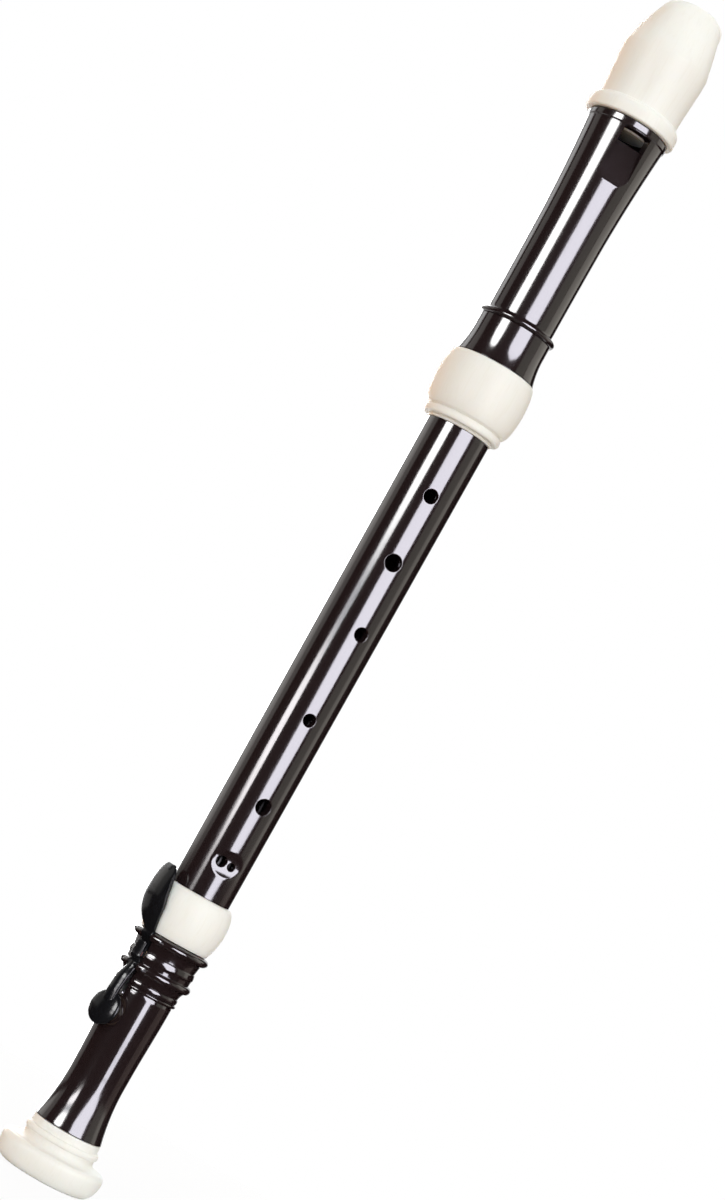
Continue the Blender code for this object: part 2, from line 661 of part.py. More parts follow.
def head_side():
    """Outer side of the head between its ring and its cap, going up."""
    low = HEAD_RING_TOP + GAP
    bead_z = HEAD_RING_TOP + NECK_BEAD_Z
    straight = bead_z + NECK_BEAD_H / 2
    flare_low = (HEAD_R + HEAD_TAPER, straight + HEAD_STRAIGHT_H)
    return [*bow((HEAD_WALL_R + SHOULDER_T, low), (NECK_R, low + SHOULDER_H), -HEAD_HOLLOW, 4),
            (NECK_R, bead_z - NECK_BEAD_H / 2),
            *bead(bead_z, NECK_BEAD_H, HEAD_R + NECK_BEAD_ROOT, NECK_R + NECK_BEAD_PROUD, 5),
            (HEAD_R, straight + NECK_BEAD_FOOT),
            (HEAD_R, straight + HEAD_STRAIGHT_H / 2),
            *bow(flare_low, (HEAD_TOP_R, CAP_Z - COLLAR_H), -HEAD_HOLLOW, 5),
            (COLLAR_R, CAP_Z - COLLAR_H + COLLAR_EDGE),
            (COLLAR_R, CAP_Z)]


def windway_roof(name, collection):
    """Arched channel that lets the breath pass over the block."""
    radius = HEAD_BORE_R + WINDWAY_H
    low, top = WINDOW_TOP - CLEAN_CUT, TIP_Z + CLEAN_CUT
    roof = turned(name, plug_outline([(radius, low), (radius, top)]), collection)
    half = WINDWAY_W / 2
    sides = box(f"{name}_sides", (-half, -CAP_R * 2, low - CLEAN_CUT), (half, 0, top + CLEAN_CUT), collection)
    combine(roof, sides, "INTERSECT")
    return roof


def head_tube(parts, tools, finish):
    """Head: socket for the middle joint, window with its ramp, and the windway's roof."""
    low = MIDDLE_TOP + LIP_H + GAP
    spigot_top = CAP_Z + CAP_SPIGOT_H
    outer = [(HEAD_WALL_R, low), (HEAD_WALL_R, HEAD_RING_TOP + GAP), *head_side(), (CAP_SPIGOT_R, CAP_Z),
             (CAP_SPIGOT_R, spigot_top)]
    ceiling = MIDDLE_TOP + TOP_TENON_H + TOP_TENON_CLEAR
    inner = [(HEAD_SOCKET_R, low), (HEAD_SOCKET_R, ceiling), (HEAD_BORE_R + GAP, ceiling),
             (HEAD_BORE_R + GAP, spigot_top)]
    tube = turned("head_tube", tube_outline(outer, inner), parts, finish)

    outside = COLLAR_R + CLEAN_CUT
    edge = HEAD_BORE_R + GAP + LABIUM_T
    surface = radius_at(head_side(), WINDOW_LOW - RAMP_H)
    lean = (surface - edge) / RAMP_H
    window = outline_prism("window", [(CLEAN_CUT - HEAD_BORE_R, WINDOW_TOP),
                                      (CLEAN_CUT - HEAD_BORE_R, WINDOW_LOW),
                                      (-edge, WINDOW_LOW),
                                      (-outside, WINDOW_LOW - (outside - edge) / lean),
                                      (-outside, WINDOW_TOP)], WINDOW_W / 2, tools)
    cut(tube, window, windway_roof("head_windway", tools))


def beak_section(z):
    """Outside of the cap at a height: a circle below, and flatter and leaner towards the tip."""
    rise = max(0.0, (z - CAP_Z - CAP_ROUND_H) / (CAP_H - CAP_ROUND_H))
    corner = max(0.0, (z - TIP_Z) / BEAK_CORNER + 1)
    half = CAP_R + (BEAK_TIP_HALF_W - CAP_R) * rise - BEAK_CORNER * (1 - math.sqrt(1 - corner**2))
    front = CAP_R + (BEAK_FRONT_TIP - CAP_R) * rise
    power = 2 / (2 + rise)
    section = []
    for x, y, _ in round_section(1, z):
        depth = front if y < 0 else half
        section.append((half * math.copysign(abs(x) ** power, x),
                        depth * math.copysign(abs(y) ** power, y), z))
    return section


def round_section(radius, z):
    """Circle of points round the bore's axis."""
    turns = steps(0, 2 * math.pi, TURN_STEPS)[:-1]
    return [(radius * math.cos(turn), radius * math.sin(turn), z) for turn in turns]


def beak_cut(name, collection):
    """Cutter for the slanted hollow that the lower lip rests on."""
    start_y, start_z = CAP_R + CLEAN_CUT, CAP_Z + CAP_ROUND_H + BEAK_CUT_START
    end_y, end_z = BEAK_TIP_T - BEAK_FRONT_TIP, TIP_Z + CLEAN_CUT
    curve = [(end_y + (start_y - end_y) * (1 - s) ** 2, start_z + (end_z - start_z) * s)
             for s in steps(0, 1, 10)]
    behind = start_y + CLEAN_CUT
    return outline_prism(name, [*curve, (behind, end_z), (behind, start_z)], CAP_R + CLEAN_CUT, collection)


def beak_cap(parts, tools, finish):
    """Cap over the head's top: a flange, a round body and the beak."""
    low, flange_top = CAP_Z + GAP, CAP_Z + FLANGE_H
    cove = (CAP_WAIST_R + FLANGE_EDGE, flange_top)
    side = [*quarter((FLANGE_R - FLANGE_EDGE, low), (FLANGE_R, low + FLANGE_EDGE), True, 2),
            *quarter((FLANGE_R, (low + flange_top) / 2), cove, False, 3),
            *ease((CAP_WAIST_R, flange_top + FLANGE_EDGE * 3 / 2), (CAP_R, CAP_Z + CAP_ROUND_H), 3)]
    beak_heights = [*steps(CAP_Z + CAP_ROUND_H, TIP_Z - BEAK_CORNER, 7)[1:],
                    *(TIP_Z - BEAK_CORNER * (1 - math.sin(t)) for t in steps(0, math.pi / 2, 5)[1:])]
    sections = [round_section(r, z) for r, z in side] + [beak_section(z) for z in beak_heights]
    cap = lofted("beak_cap", sections, parts, finish)
    low = CAP_Z - CLEAN_CUT
    spigot = turned("cap_socket", plug_outline([(CAP_SPIGOT_R + GAP, low),
                                                (CAP_SPIGOT_R + GAP, CAP_Z + CAP_SPIGOT_H + GAP)]), tools)
    block_hole = turned("block_hole", plug_outline([(HEAD_BORE_R + GAP, low - CLEAN_CUT),
                                                    (HEAD_BORE_R + GAP, TIP_Z + CLEAN_CUT)]), tools)
    cut(cap, spigot, block_hole, windway_roof("cap_windway", tools), beak_cut("lip_cut", tools))


def windway_block(parts, tools, finish):
    """Block that fills the head's top, with the windway's floor along its front."""
    side = [(HEAD_BORE_R, WINDOW_TOP), (HEAD_BORE_R, TIP_Z - GAP)]
    block = turned("windway_block", plug_outline(side), parts, finish)
    cut(block, beak_cut("block_cut", tools))


def pin(name, z, rho, bead_radius, parts, finish, key_side):
    """Steel pin along a chord of its bead, just short of the surface."""
    half = math.sqrt(bead_radius**2 - rho**2) - PIN_SET_BACK
    hang(rod(name, (-half, -rho, z), (half, -rho, z), PIN_R, parts, finish), key_side)


def touch_inner(z):
    """Inside of the touch: it clears the foot ring when it is pressed, and curls in at its tip."""
    swing = math.radians(TOUCH_PRESS)
    widest_z = FOOT_RING_Z + FOOT_RING_MAX_H
    if z < widest_z:
        return radius_at(foot_ring_side(), z) + TOUCH_CLEAR + swing * (z - TOUCH_PIN_Z)
    tip = FOOT_TOP + TOUCH_OVER_RING
    main = FOOT_RING_R + TOUCH_CLEAR + swing * (widest_z - TOUCH_PIN_Z)
    return main - TOUCH_CURL * ((z - widest_z) / (tip - widest_z)) ** 3


def stop_cork(parts, finish, key_side):
    """Cork on the channel's floor, which the touch's lower finger rests on."""
    half = LEVER_W / 2 - SLOT_PLAY
    bed = CHANNEL_RHO + GAP
    low, high = (-half, -bed - CORK_T, LINK_Z - LINK_H / 2), (half, -bed, LINK_Z + LINK_H)
    hang(box("stop_cork", low, high, parts, finish), key_side)


def lug_tools(name, rho, z, collection):
    """Lug of a lever and the hole through it, both along its pin."""
    half = LEVER_W / 2
    lug = rod(f"{name}_lug", (-half, -rho, z), (half, -rho, z), LUG_R, collection)
    past = half + CLEAN_CUT
    hole = rod(f"{name}_lug_hole", (-past, -rho, z), (past, -rho, z), PIN_R + PIN_PLAY, collection)
    return lug, hole


def touch_lever(parts, tools, finish, felt_finish, pivot, touch_pivot):
    """Lever that the little finger presses: the touch, its pin's lug and its lower finger."""
    inside = CHANNEL_RHO + GAP + CORK_T + GAP
    outside = inside + FINGER_T
    finger = math.degrees((LEVER_W / 2 - GAP) / outside)
    lug_turn = math.degrees(LEVER_W / 2 / TOUCH_PIN_RHO)
    low = [(LINK_Z - LINK_H / 2, -finger, finger, inside, outside),
           (LINK_Z + LINK_H * 3 / 2, -finger, finger, inside, outside),
           (TOUCH_PIN_Z - LUG_R * 3 / 2, -lug_turn, lug_turn, inside, outside + FINGER_T / 2),
           (TOUCH_PIN_Z - LUG_R / 4, -lug_turn, lug_turn, inside, (outside + FINGER_T + TOUCH_BEAD_R) / 2),
           (TOUCH_PIN_Z + LUG_R / 3, -lug_turn, lug_turn, inside + GAP, TOUCH_BEAD_R)]
    base, tip = FOOT_RING_Z, FOOT_TOP + TOUCH_OVER_RING
    # Share of the touch's height, with its front and back edges in degrees from the key's middle
    sweep = [(0.00, -9.5, 9.5), (0.10, -9.8, 19.0), (0.26, -10.5, 31.0), (0.42, -10.5, 37.0),
             (0.58, -7.0, 39.0), (0.74, -4.0, 39.5), (0.88, 0.5, 37.5), (0.96, 6.0, 33.5),
             (1.00, 12.0, 28.0)]
    high = []
    for share, front, back in sweep:
        z = base + (tip - base) * share
        inner = touch_inner(z)
        high.append((z, front, back, inner, inner + TOUCH_T * (1 - share**8 / 3)))
    sections = [ring_slice(*station) for station in through([*low, *high], 2)]
    lever = lofted("touch_lever", sections, parts, finish)
    lug, hole = lug_tools("touch", TOUCH_PIN_RHO, TOUCH_PIN_Z, tools)
    fuse(lever, lug)
    cut(lever, hole)
    felt_half = LEVER_W / 2 - SLOT_PLAY
    felt = box("link_felt", (-felt_half, -outside - GAP - FELT_T, LINK_Z - LINK_H / 2),
               (felt_half, -outside - GAP, LINK_Z + LINK_H / 2), parts, felt_finish)
    for piece in (lever, lug, hole, felt):
        hang(piece, touch_pivot, pivot)


def cup_lever(parts, tools, finish, pad_finish, pivot, cup_pivot):
    """Lever that closes the tone hole. It is drawn closed, and its empty holds it open."""
    def finger(z, offset=0.0):
        """A point of the upper finger, which is upright when the cup is open."""
        return CHANNEL_RHO + 4 * GAP + CORK_T + FINGER_T + FELT_T + offset + swing * (z - CUP_PIN_Z)

    swing = math.tan(math.radians(CUP_PRESS))
    ceiling = PAD_CLEAR + PAD_T + GAP
    arm_in = CHIMNEY_RHO + ceiling
    arm_low, arm_high = TONE_HOLE_Z + CUP_R / 3, CUP_PIN_Z - LUG_R * 4
    bend, meet, end = LINK_Z - LINK_H, LINK_Z - LINK_H / 3, LINK_Z + LINK_H * 5 / 2
    stations = [(arm_low, ARM_W, arm_in, arm_in + CUP_DOME_H),
                (TONE_HOLE_Z + CUP_R, ARM_W, arm_in, arm_in + ARM_T),
                ((TONE_HOLE_Z + CUP_R + arm_high) / 2, ARM_W, arm_in, arm_in + ARM_T),
                (arm_high, ARM_W, (arm_in * 3 + CUP_PIN_RHO) / 4, arm_in + ARM_T),
                (CUP_PIN_Z - LUG_R * 3 / 2, LEVER_W, CUP_PIN_RHO - LUG_R / 2, CUP_PIN_RHO + ARM_T),
                (CUP_PIN_Z, LEVER_W, CUP_PIN_RHO - LUG_R * 2 / 3, CUP_BEAD_R),
                (CUP_PIN_Z + LUG_R, LEVER_W, CUP_PIN_RHO - LUG_R / 2, CUP_BEAD_R),
                (bend, LEVER_W, finger(bend), finger(bend, FINGER_T)),
                (meet, LEVER_W, finger(meet), finger(meet, FINGER_T)),
                (end, LEVER_W - SLOT_PLAY, finger(end), finger(end, FINGER_T))]
    lever = lofted("cup_lever", [flat_slice(*station) for station in through(stations, 3)], parts, finish)
    lug, hole = lug_tools("cup", CUP_PIN_RHO, CUP_PIN_Z, tools)
    hollow_r = CUP_R - CUP_WALL
    crown = (CUP_R / 3, ceiling + CUP_DOME_H)
    cup_outline = [(0, crown[1]), *reversed(quarter((CUP_R, ceiling), crown, False, 4)), (CUP_R, CUP_RIM_H),
                   (hollow_r, CUP_RIM_H), (hollow_r, ceiling), (0, ceiling)]
    cup = turned("cup", cup_outline, tools, facets=CUP_STEPS)
    pad_side = [(hollow_r - GAP, PAD_CLEAR), (hollow_r - GAP, PAD_CLEAR + PAD_T)]
    pad = turned("key_pad", plug_outline(pad_side), parts, pad_finish, facets=CUP_STEPS)
    fuse(lever, cup, lug)
    cut(lever, hole)
    for piece in (lever, lug, hole, cup, pad):
        hang(piece, cup_pivot, pivot)
    for piece in (cup, pad):
        piece.rotation_euler.x = math.pi / 2
        piece.location += Vector((0, -CHIMNEY_RHO, TONE_HOLE_Z))


def key_spring(parts, tools, finish, screw_finish, key_side):
    """Leaf spring under the cup's arm, with the screw that holds it to the foot."""
    bed = SPRING_FLOOR_RHO + GAP
    flat_top = SPRING_SCREW_Z + SCREW_HEAD_R + GAP
    tip_z = CUP_PIN_Z - LUG_R * 2
    tip_out = CUP_PIN_RHO - LUG_R / 2 - GAP * 2
    stations = [(SPRING_SCREW_Z - SCREW_HEAD_R, SPRING_W, bed, bed + LEAF_T),
                (flat_top, SPRING_W, bed, bed + LEAF_T),
                ((flat_top * 2 + tip_z) / 3, SPRING_W, bed + LEAF_T, bed + LEAF_T * 2),
                (tip_z, SPRING_W * 3 / 4, tip_out - LEAF_T, tip_out)]
    leaf = lofted("key_spring", [flat_slice(*station) for station in through(stations, 3)], parts, finish)
    hole = rod("spring_hole", (0, 0, SPRING_SCREW_Z), (0, -CUP_BEAD_R, SPRING_SCREW_Z), SCREW_R + GAP, tools)
    cut(leaf, hole)
    head = bed + LEAF_T + GAP
    side = [(SCREW_R, SPRING_FLOOR_RHO - SCREW_L + GAP), (SCREW_R, head), (SCREW_HEAD_R, head),
            (SCREW_HEAD_R, head + SCREW_HEAD_H / 2), (SCREW_HEAD_R - SCREW_SLOT, head + SCREW_HEAD_H)]
    screw = turned("spring_screw", plug_outline(side), parts, screw_finish, facets=SMALL_STEPS)
    past, half = SCREW_HEAD_R + CLEAN_CUT, SCREW_SLOT / 2
    slot = box("screw_slot", (-past, -half, head + SCREW_HEAD_H / 2), (past, half, head + CLEAN_CUT), tools)
    cut(screw, slot)
    for piece in (leaf, hole, screw, slot):
        hang(piece, key_side)
    for piece in (screw, slot):
        piece.rotation_euler.x = math.pi / 2
        piece.location.z = SPRING_SCREW_Z


def main():
    for old in list(bpy.data.objects):
        bpy.data.objects.remove(old)
    parts = bpy.data.collections.new("tenor_recorder")
    tools = bpy.data.collections.new("cutters")
    for collection in (parts, tools):
        bpy.context.scene.collection.children.link(collection)

    dark = material("dark_plastic", (0.022, 0.014, 0.013), 0.12, coat=0.5)
    ivory = material("ivory_plastic", (0.88, 0.85, 0.76), 0.25)
    black = material("black_key", (0.008, 0.008, 0.010), 0.18, coat=0.5)
    steel = material("steel", (0.55, 0.55, 0.56), 0.3, metallic=1.0)
    rubber = material("seal_rubber", (0.02, 0.02, 0.02), 0.6)
    leather = material("pad_leather", (0.62, 0.5, 0.36), 0.8)
    cork = material("cork", (0.5, 0.33, 0.19), 0.9)
    felt_cloth = material("felt", (0.25, 0.05, 0.05), 0.95)

    touch_at = (0, -TOUCH_PIN_RHO, TOUCH_PIN_Z)
    cup_at = (0, -CUP_PIN_RHO, CUP_PIN_Z)
    key_side = empty("key_side", facing(KEY_ANGLE), parts)
    touch_pivot = empty("touch_pivot", Matrix.Translation(touch_at), parts, key_side)
    opened = Matrix.Rotation(-math.radians(CUP_PRESS), 4, "X")
    cup_pivot = empty("cup_pivot", Matrix.Translation(cup_at) @ opened, parts, key_side)

    bell_ring(parts, ivory)
    foot_tube(parts, tools, dark, key_side)
    foot_ring(parts, ivory)
    pin("touch_pin", TOUCH_PIN_Z, TOUCH_PIN_RHO, TOUCH_BEAD_R, parts, steel, key_side)
    pin("cup_pin", CUP_PIN_Z, CUP_PIN_RHO, CUP_BEAD_R, parts, steel, key_side)
    key_spring(parts, tools, steel, steel, key_side)
    stop_cork(parts, cork, key_side)
    touch_lever(parts, tools, black, felt_cloth, touch_at, touch_pivot)
    cup_lever(parts, tools, black, leather, cup_at, cup_pivot)

    for place, z in zip(("low", "high"), seal_heights(FOOT_TOP + GAP, -LOW_TENON_H)):
        seal(f"foot_seal_{place}", LOW_TENON_R, z, parts, rubber)
    middle_tube(parts, tools, dark)
    for place, z in zip(("low", "high"), seal_heights(MIDDLE_TOP - GAP, TOP_TENON_H)):
        seal(f"head_seal_{place}", TOP_TENON_R, z, parts, rubber)
    head_ring(parts, ivory)
    head_tube(parts, tools, dark)
    beak_cap(parts, tools, ivory)
    windway_block(parts, tools, ivory)
    bpy.context.view_layer.update()


main()
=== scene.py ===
"""Tenor recorder, dressed for its picture: smooth turned joints, key, finishes, light and camera.

Lengths are metres in the recorder's own frame: it stands on its foot, +Z runs up the bore,
the finger holes face -Y and the key is on the -X side. Angles are degrees, counted from the
front towards the side that each name says.
"""

import json
import math

import bmesh
import bpy
from mathutils import Matrix, Vector


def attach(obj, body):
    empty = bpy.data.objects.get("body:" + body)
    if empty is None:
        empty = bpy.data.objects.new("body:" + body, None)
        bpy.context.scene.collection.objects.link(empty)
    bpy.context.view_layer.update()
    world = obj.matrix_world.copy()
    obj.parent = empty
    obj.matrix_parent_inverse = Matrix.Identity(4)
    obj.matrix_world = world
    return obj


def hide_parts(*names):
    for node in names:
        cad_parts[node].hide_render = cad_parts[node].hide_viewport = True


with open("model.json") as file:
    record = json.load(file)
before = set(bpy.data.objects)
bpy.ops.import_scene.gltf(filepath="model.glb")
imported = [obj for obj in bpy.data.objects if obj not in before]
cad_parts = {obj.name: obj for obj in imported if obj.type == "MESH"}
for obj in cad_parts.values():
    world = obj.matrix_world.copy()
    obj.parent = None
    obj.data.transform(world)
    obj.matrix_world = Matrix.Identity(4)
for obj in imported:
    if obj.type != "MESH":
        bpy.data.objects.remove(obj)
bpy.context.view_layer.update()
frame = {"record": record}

# ---------------------------------------------------------------- sizes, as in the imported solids
GAP = 0.0003                    # between pieces that lie together
BELL_TOP = 0.0257
FOOT_RING_Z = 0.1283
FOOT_TOP = 0.1540
MIDDLE_TOP = 0.4075
HEAD_RING_TOP = 0.4420
CAP_Z = 0.5740
TIP_Z = 0.6370
FOOT_BORE_R = 0.0084
MIDDLE_BORE_R = (0.0088, 0.0118)    # at the joint's lower and upper end
HEAD_BORE_R = 0.0126
FOOT_RING_R, FOOT_RING_WIDEST_Z = 0.0204, FOOT_RING_Z + 0.0142
LIP_H = 0.0015
TENON_R = (0.0125, 0.0147)
SOCKET_R = (0.0130, 0.0152)
TENON_H = (0.0236, 0.0278)
SOCKET_DEPTH = (0.0256, 0.0292)
SEAL_SPACING = 0.0055           # of each seal from its tenon's middle
WALL_R = (0.0149, 0.0180)       # of the tubes inside the foot ring and the head ring
RING_BORE_R = (0.0152, 0.0183)

# Key
KEY_ANGLE = 57.0                # from the front towards -X
TOUCH_PIN_Z, TOUCH_PIN_RHO, TOUCH_BEAD_R = 0.1259, 0.0176, 0.0202
CUP_PIN_Z, CUP_PIN_RHO, CUP_BEAD_R = 0.1102, 0.0171, 0.0190
TOUCH_TIP_Z = FOOT_TOP + 0.0067
TOUCH_PRESS, CUP_PRESS = 4.7, 7.0124
TONE_HOLE_Z, TONE_HOLE_R, CHIMNEY_RHO = 0.0860, 0.0044, 0.0162
CHANNEL_RHO = 0.01505
BEAD_H = 0.0042
PIN_R, PIN_HOLE_R, LUG_R, LEVER_W = 0.00075, 0.00081, 0.0017, 0.0060
LINK_Z, LINK_H = 0.1165, 0.0022     # where the two levers meet
CORK_T, FINGER_T, FELT_T = 0.0006, 0.0015, 0.0005
SCREW_Z, SCREW_HOLE_R, SPRING_FLOOR_RHO = 0.0958, 0.0010, 0.0139

FACETS = 192                    # round the turned pieces


# ---------------------------------------------------------------- outlines
def steps(start, stop, parts):
    """Evenly spaced values from start to stop, both included."""
    return [start + (stop - start) * i / parts for i in range(parts + 1)]


def bead(z, height, root, crest, parts=14):
    """Half-round bead centred at z, as (radius, z) going up."""
    return [(root + (crest - root) * math.sin(t), z - height / 2 * math.cos(t))
            for t in steps(0, math.pi, parts)]


def bow(low, high, bulge=0.0, parts=24):
    """Shallow curve between two (radius, z) points, swollen outwards by bulge."""
    return [(low[0] + (high[0] - low[0]) * s + 4 * bulge * s * (1 - s), low[1] + (high[1] - low[1]) * s)
            for s in steps(0, 1, parts)]


def quarter(low, high, flat_first, parts=14):
    """Quarter of an ellipse between two (radius, z) points, level at its low end if flat_first."""
    points = []
    for t in steps(0, math.pi / 2, parts):
        across, up = (math.sin(t), 1 - math.cos(t)) if flat_first else (1 - math.cos(t), math.sin(t))
        points.append((low[0] + (high[0] - low[0]) * across, low[1] + (high[1] - low[1]) * up))
    return points


def ease(low, high, parts=24):
    """S curve between two (radius, z) points, upright at both ends."""
    return [(low[0] + (high[0] - low[0]) * (1 - math.cos(math.pi * s)) / 2, low[1] + (high[1] - low[1]) * s)
            for s in steps(0, 1, parts)]


def bulb(end, widest, fullness, parts=24):
    """Rounded side from a bulb's end to where it is widest, the fuller the smaller the number."""
    return [(end[0] + (widest[0] - end[0]) * math.sin(t) ** (2 * fullness),
             end[1] + (widest[1] - end[1]) * (1 - math.cos(t)))
            for t in steps(0, math.pi / 2, parts)]


def radius_at(outline, z):
    """Radius of an outline that runs upwards, at height z."""
    for (r_low, z_low), (r_high, z_high) in zip(outline, outline[1:]):
        if z_low <= z <= z_high and z_high > z_low:
            return r_low + (r_high - r_low) * (z - z_low) / (z_high - z_low)
    return outline[0][0] if z < outline[0][1] else outline[-1][0]


def through(points, parts):
    """Smooth curve through tuples of numbers, with so many parts between neighbours."""
    ends = [points[0], *points, points[-1]]
    curve = []
    for a, b, c, d in zip(ends, ends[1:], ends[2:], ends[3:]):
        for t in steps(0, 1, parts)[:-1]:
            curve.append(tuple(
                q + 0.5 * t * (r - p + t * (2 * p - 5 * q + 4 * r - s + t * (3 * q - p - 3 * r + s)))
                for p, q, r, s in zip(a, b, c, d)))
    return [*curve, points[-1]]


def softened(outline, reach=0.00025, parts=4):
    """Closed outline with its corners rounded, as a mould leaves them."""
    points = [Vector(point) for point in outline]
    points = [p for p, q in zip(points, [points[-1], *points]) if (p - q).length > 1e-7]
    rounded = []
    for before, corner, after in zip([points[-1], *points], points, [*points[1:], points[0]]):
        inward, onward = corner - before, after - corner
        if corner.x < 1e-6 or inward.angle(onward) < math.radians(18):
            rounded.append(tuple(corner))
            continue
        cut = min(reach, inward.length * 0.45, onward.length * 0.45)
        start, end = corner - inward.normalized() * cut, corner + onward.normalized() * cut
        rounded += [tuple(start * (1 - t) ** 2 + corner * 2 * t * (1 - t) + end * t * t)
                    for t in steps(0, 1, parts)]
    return rounded


def tube_outline(outer, inner):
    """Closed outline of a tube from its outer and inner sides, both given going up."""
    return [*reversed(outer), *inner]


def plug_outline(side):
    """Outline of a solid turned piece from its side, given going up."""
    return [(0, side[-1][1]), *reversed(side), (0, side[0][1])]


# ---------------------------------------------------------------- node trees
def add_node(tree, kind, settings, inputs):
    """Node with its settings made first, and then the values or links of its sockets."""
    node = tree.nodes.new(kind)
    for key, value in settings.items():
        if key == "stops":
            ramp = node.color_ramp.elements
            while len(ramp) < len(value):
                ramp.new(0.5)
            for stop, (place, colour) in zip(ramp, value):
                stop.position, stop.color = place, (*colour, 1)
        else:
            setattr(node, key, value)
    for key, value in inputs.items():
        socket = node.inputs[key] if isinstance(key, int) else next(
            s for s in node.inputs if key in (s.identifier, s.name) and s.enabled)
        if isinstance(value, Value):
            value = value.socket
        if isinstance(value, bpy.types.NodeSocket):
            tree.links.new(value, socket)
        else:
            socket.default_value = value
    return node


class Value:
    """A shader socket that Python's operators work on. Each adds its Math node."""

    def __init__(self, finish, socket):
        self.finish, self.socket = finish, socket

    def maths(self, operation, *operands):
        return self.finish.node("ShaderNodeMath", {"operation": operation}, dict(enumerate(operands)))

    def __add__(self, other):
        return self.maths("ADD", self, other)

    def __sub__(self, other):
        return self.maths("SUBTRACT", self, other)

    def __rsub__(self, other):
        return self.maths("SUBTRACT", other, self)

    def __mul__(self, other):
        return self.maths("MULTIPLY", self, other)

    __radd__, __rmul__ = __add__, __mul__

    def over(self, limit, softness):
        """0 below the limit and 1 above it, with a soft step."""
        return self.finish.node("ShaderNodeMapRange", {"interpolation_type": "SMOOTHSTEP"},
                                {"Value": self, "From Min": limit - softness, "From Max": limit + softness})


class Finish:
    """A material, its nodes made by Python expressions on Object coordinates."""

    def __init__(self, name, constants):
        self.material = bpy.data.materials.new(name)
        self.material.use_nodes = True
        self.tree = self.material.node_tree
        self.shader = self.tree.nodes["Principled BSDF"]
        for key, value in constants.items():
            self.shader.inputs[key].default_value = value
        self.place = self.node("ShaderNodeTexCoord", {}, {}, "Object")

    def node(self, kind, settings, inputs, output=0):
        """Any node, as the value of one of its outputs."""
        return Value(self, add_node(self.tree, kind, settings, inputs).outputs[output])

    def stretched(self, x, y, z):
        """Object coordinates scaled on each axis."""
        return self.node("ShaderNodeMapping", {}, {"Vector": self.place, "Scale": (x, y, z)})

    def noise(self, scale, detail=3.0, vector=None, roughness=0.5):
        """Soft noise from 0 to 1; scale counts its features along a metre."""
        return self.node("ShaderNodeTexNoise", {}, {"Vector": vector or self.place, "Scale": scale,
                                                    "Detail": detail, "Roughness": roughness})

    def cells(self, scale):
        """Distance from the middle of small cells; scale counts them along a metre."""
        return self.node("ShaderNodeTexVoronoi", {"feature": "F1"},
                         {"Vector": self.place, "Scale": scale}, "Distance")

    def mixed(self, factor, first, second):
        """Colour between two others."""
        colours = {name: (*c, 1) if isinstance(c, tuple) else c
                   for name, c in (("A_Color", first), ("B_Color", second))}
        return self.node("ShaderNodeMix", {"data_type": "RGBA"},
                         {"Factor_Float": factor, **colours}, "Result")

    def raised(self, height, distance):
        """Normal of a surface that stands this far proud where height is 1."""
        return self.node("ShaderNodeBump", {}, {"Height": height, "Distance": distance, "Strength": 1.0})

    def set(self, **values):
        """Links values to the shader's sockets, and returns the finished material."""
        for key, value in values.items():
            self.tree.links.new(value.socket, self.shader.inputs[key.replace("_", " ")])
        return self.material


# ---------------------------------------------------------------- finishes
def moulded_dark():
    """Polished dark brown plastic: flow marks in the colour, hairline scratches in the gloss."""
    f = Finish("moulded_dark", {"IOR": 1.52, "Coat Weight": 0.25, "Coat Roughness": 0.10})
    flow = f.noise(9, 4, f.stretched(3, 3, 1))
    mottle = f.noise(260, 2)
    wiped = f.noise(40, 5, f.stretched(1, 1, 0.25))
    hair = f.noise(1400, 2, f.stretched(1, 1, 0.02), 0.7)
    colour = f.mixed(flow * 0.8 + mottle * 0.2, (0.0125, 0.0072, 0.0078), (0.0215, 0.0130, 0.0130))
    gloss = 0.115 + wiped.over(0.62, 0.2) * 0.05 + hair.over(0.66, 0.05) * 0.06
    skin = f.noise(320, 2) * 0.7 + hair * 0.05
    return f.set(Base_Color=colour, Roughness=gloss, Normal=f.raised(skin, 0.000006))


def moulded_ivory():
    """Polished ivory plastic with the faint long grain of imitation ivory."""
    f = Finish("moulded_ivory", {"IOR": 1.5, "Specular IOR Level": 0.08, "Subsurface Weight": 0.12,
                                 "Subsurface Scale": 0.004, "Subsurface Radius": (1.0, 0.62, 0.36)})
    grain = f.noise(900, 3, f.stretched(1, 1, 0.03), 0.6)
    cloud = f.noise(30, 3)
    wiped = f.noise(55, 4)
    warm = f.mixed(cloud, (0.85, 0.83, 0.77), (0.89, 0.875, 0.82))
    colour = f.mixed(grain.over(0.6, 0.12) * 0.14, warm, (0.74, 0.69, 0.58))
    gloss = 0.36 + wiped * 0.1 + grain * 0.04
    skin = f.noise(420, 2) * 0.6 + grain * 0.2
    return f.set(Base_Color=colour, Roughness=gloss, Normal=f.raised(skin, 0.000008))


def black_key():
    """Black moulded plastic of the key, with patches of wear in its colour and gloss."""
    f = Finish("black_key", {"IOR": 1.52, "Specular IOR Level": 0.2, "Coat Weight": 0.06,
                             "Coat Roughness": 0.12})
    worn = f.noise(120, 4)
    hair = f.noise(1800, 2, f.stretched(1, 1, 0.05), 0.7)
    colour = f.mixed(worn, (0.0045, 0.0046, 0.0060), (0.0095, 0.0092, 0.0105))
    gloss = 0.17 + worn.over(0.6, 0.15) * 0.06 + hair.over(0.66, 0.05) * 0.05
    return f.set(Base_Color=colour, Roughness=gloss, Normal=f.raised(f.noise(500, 2), 0.000006))


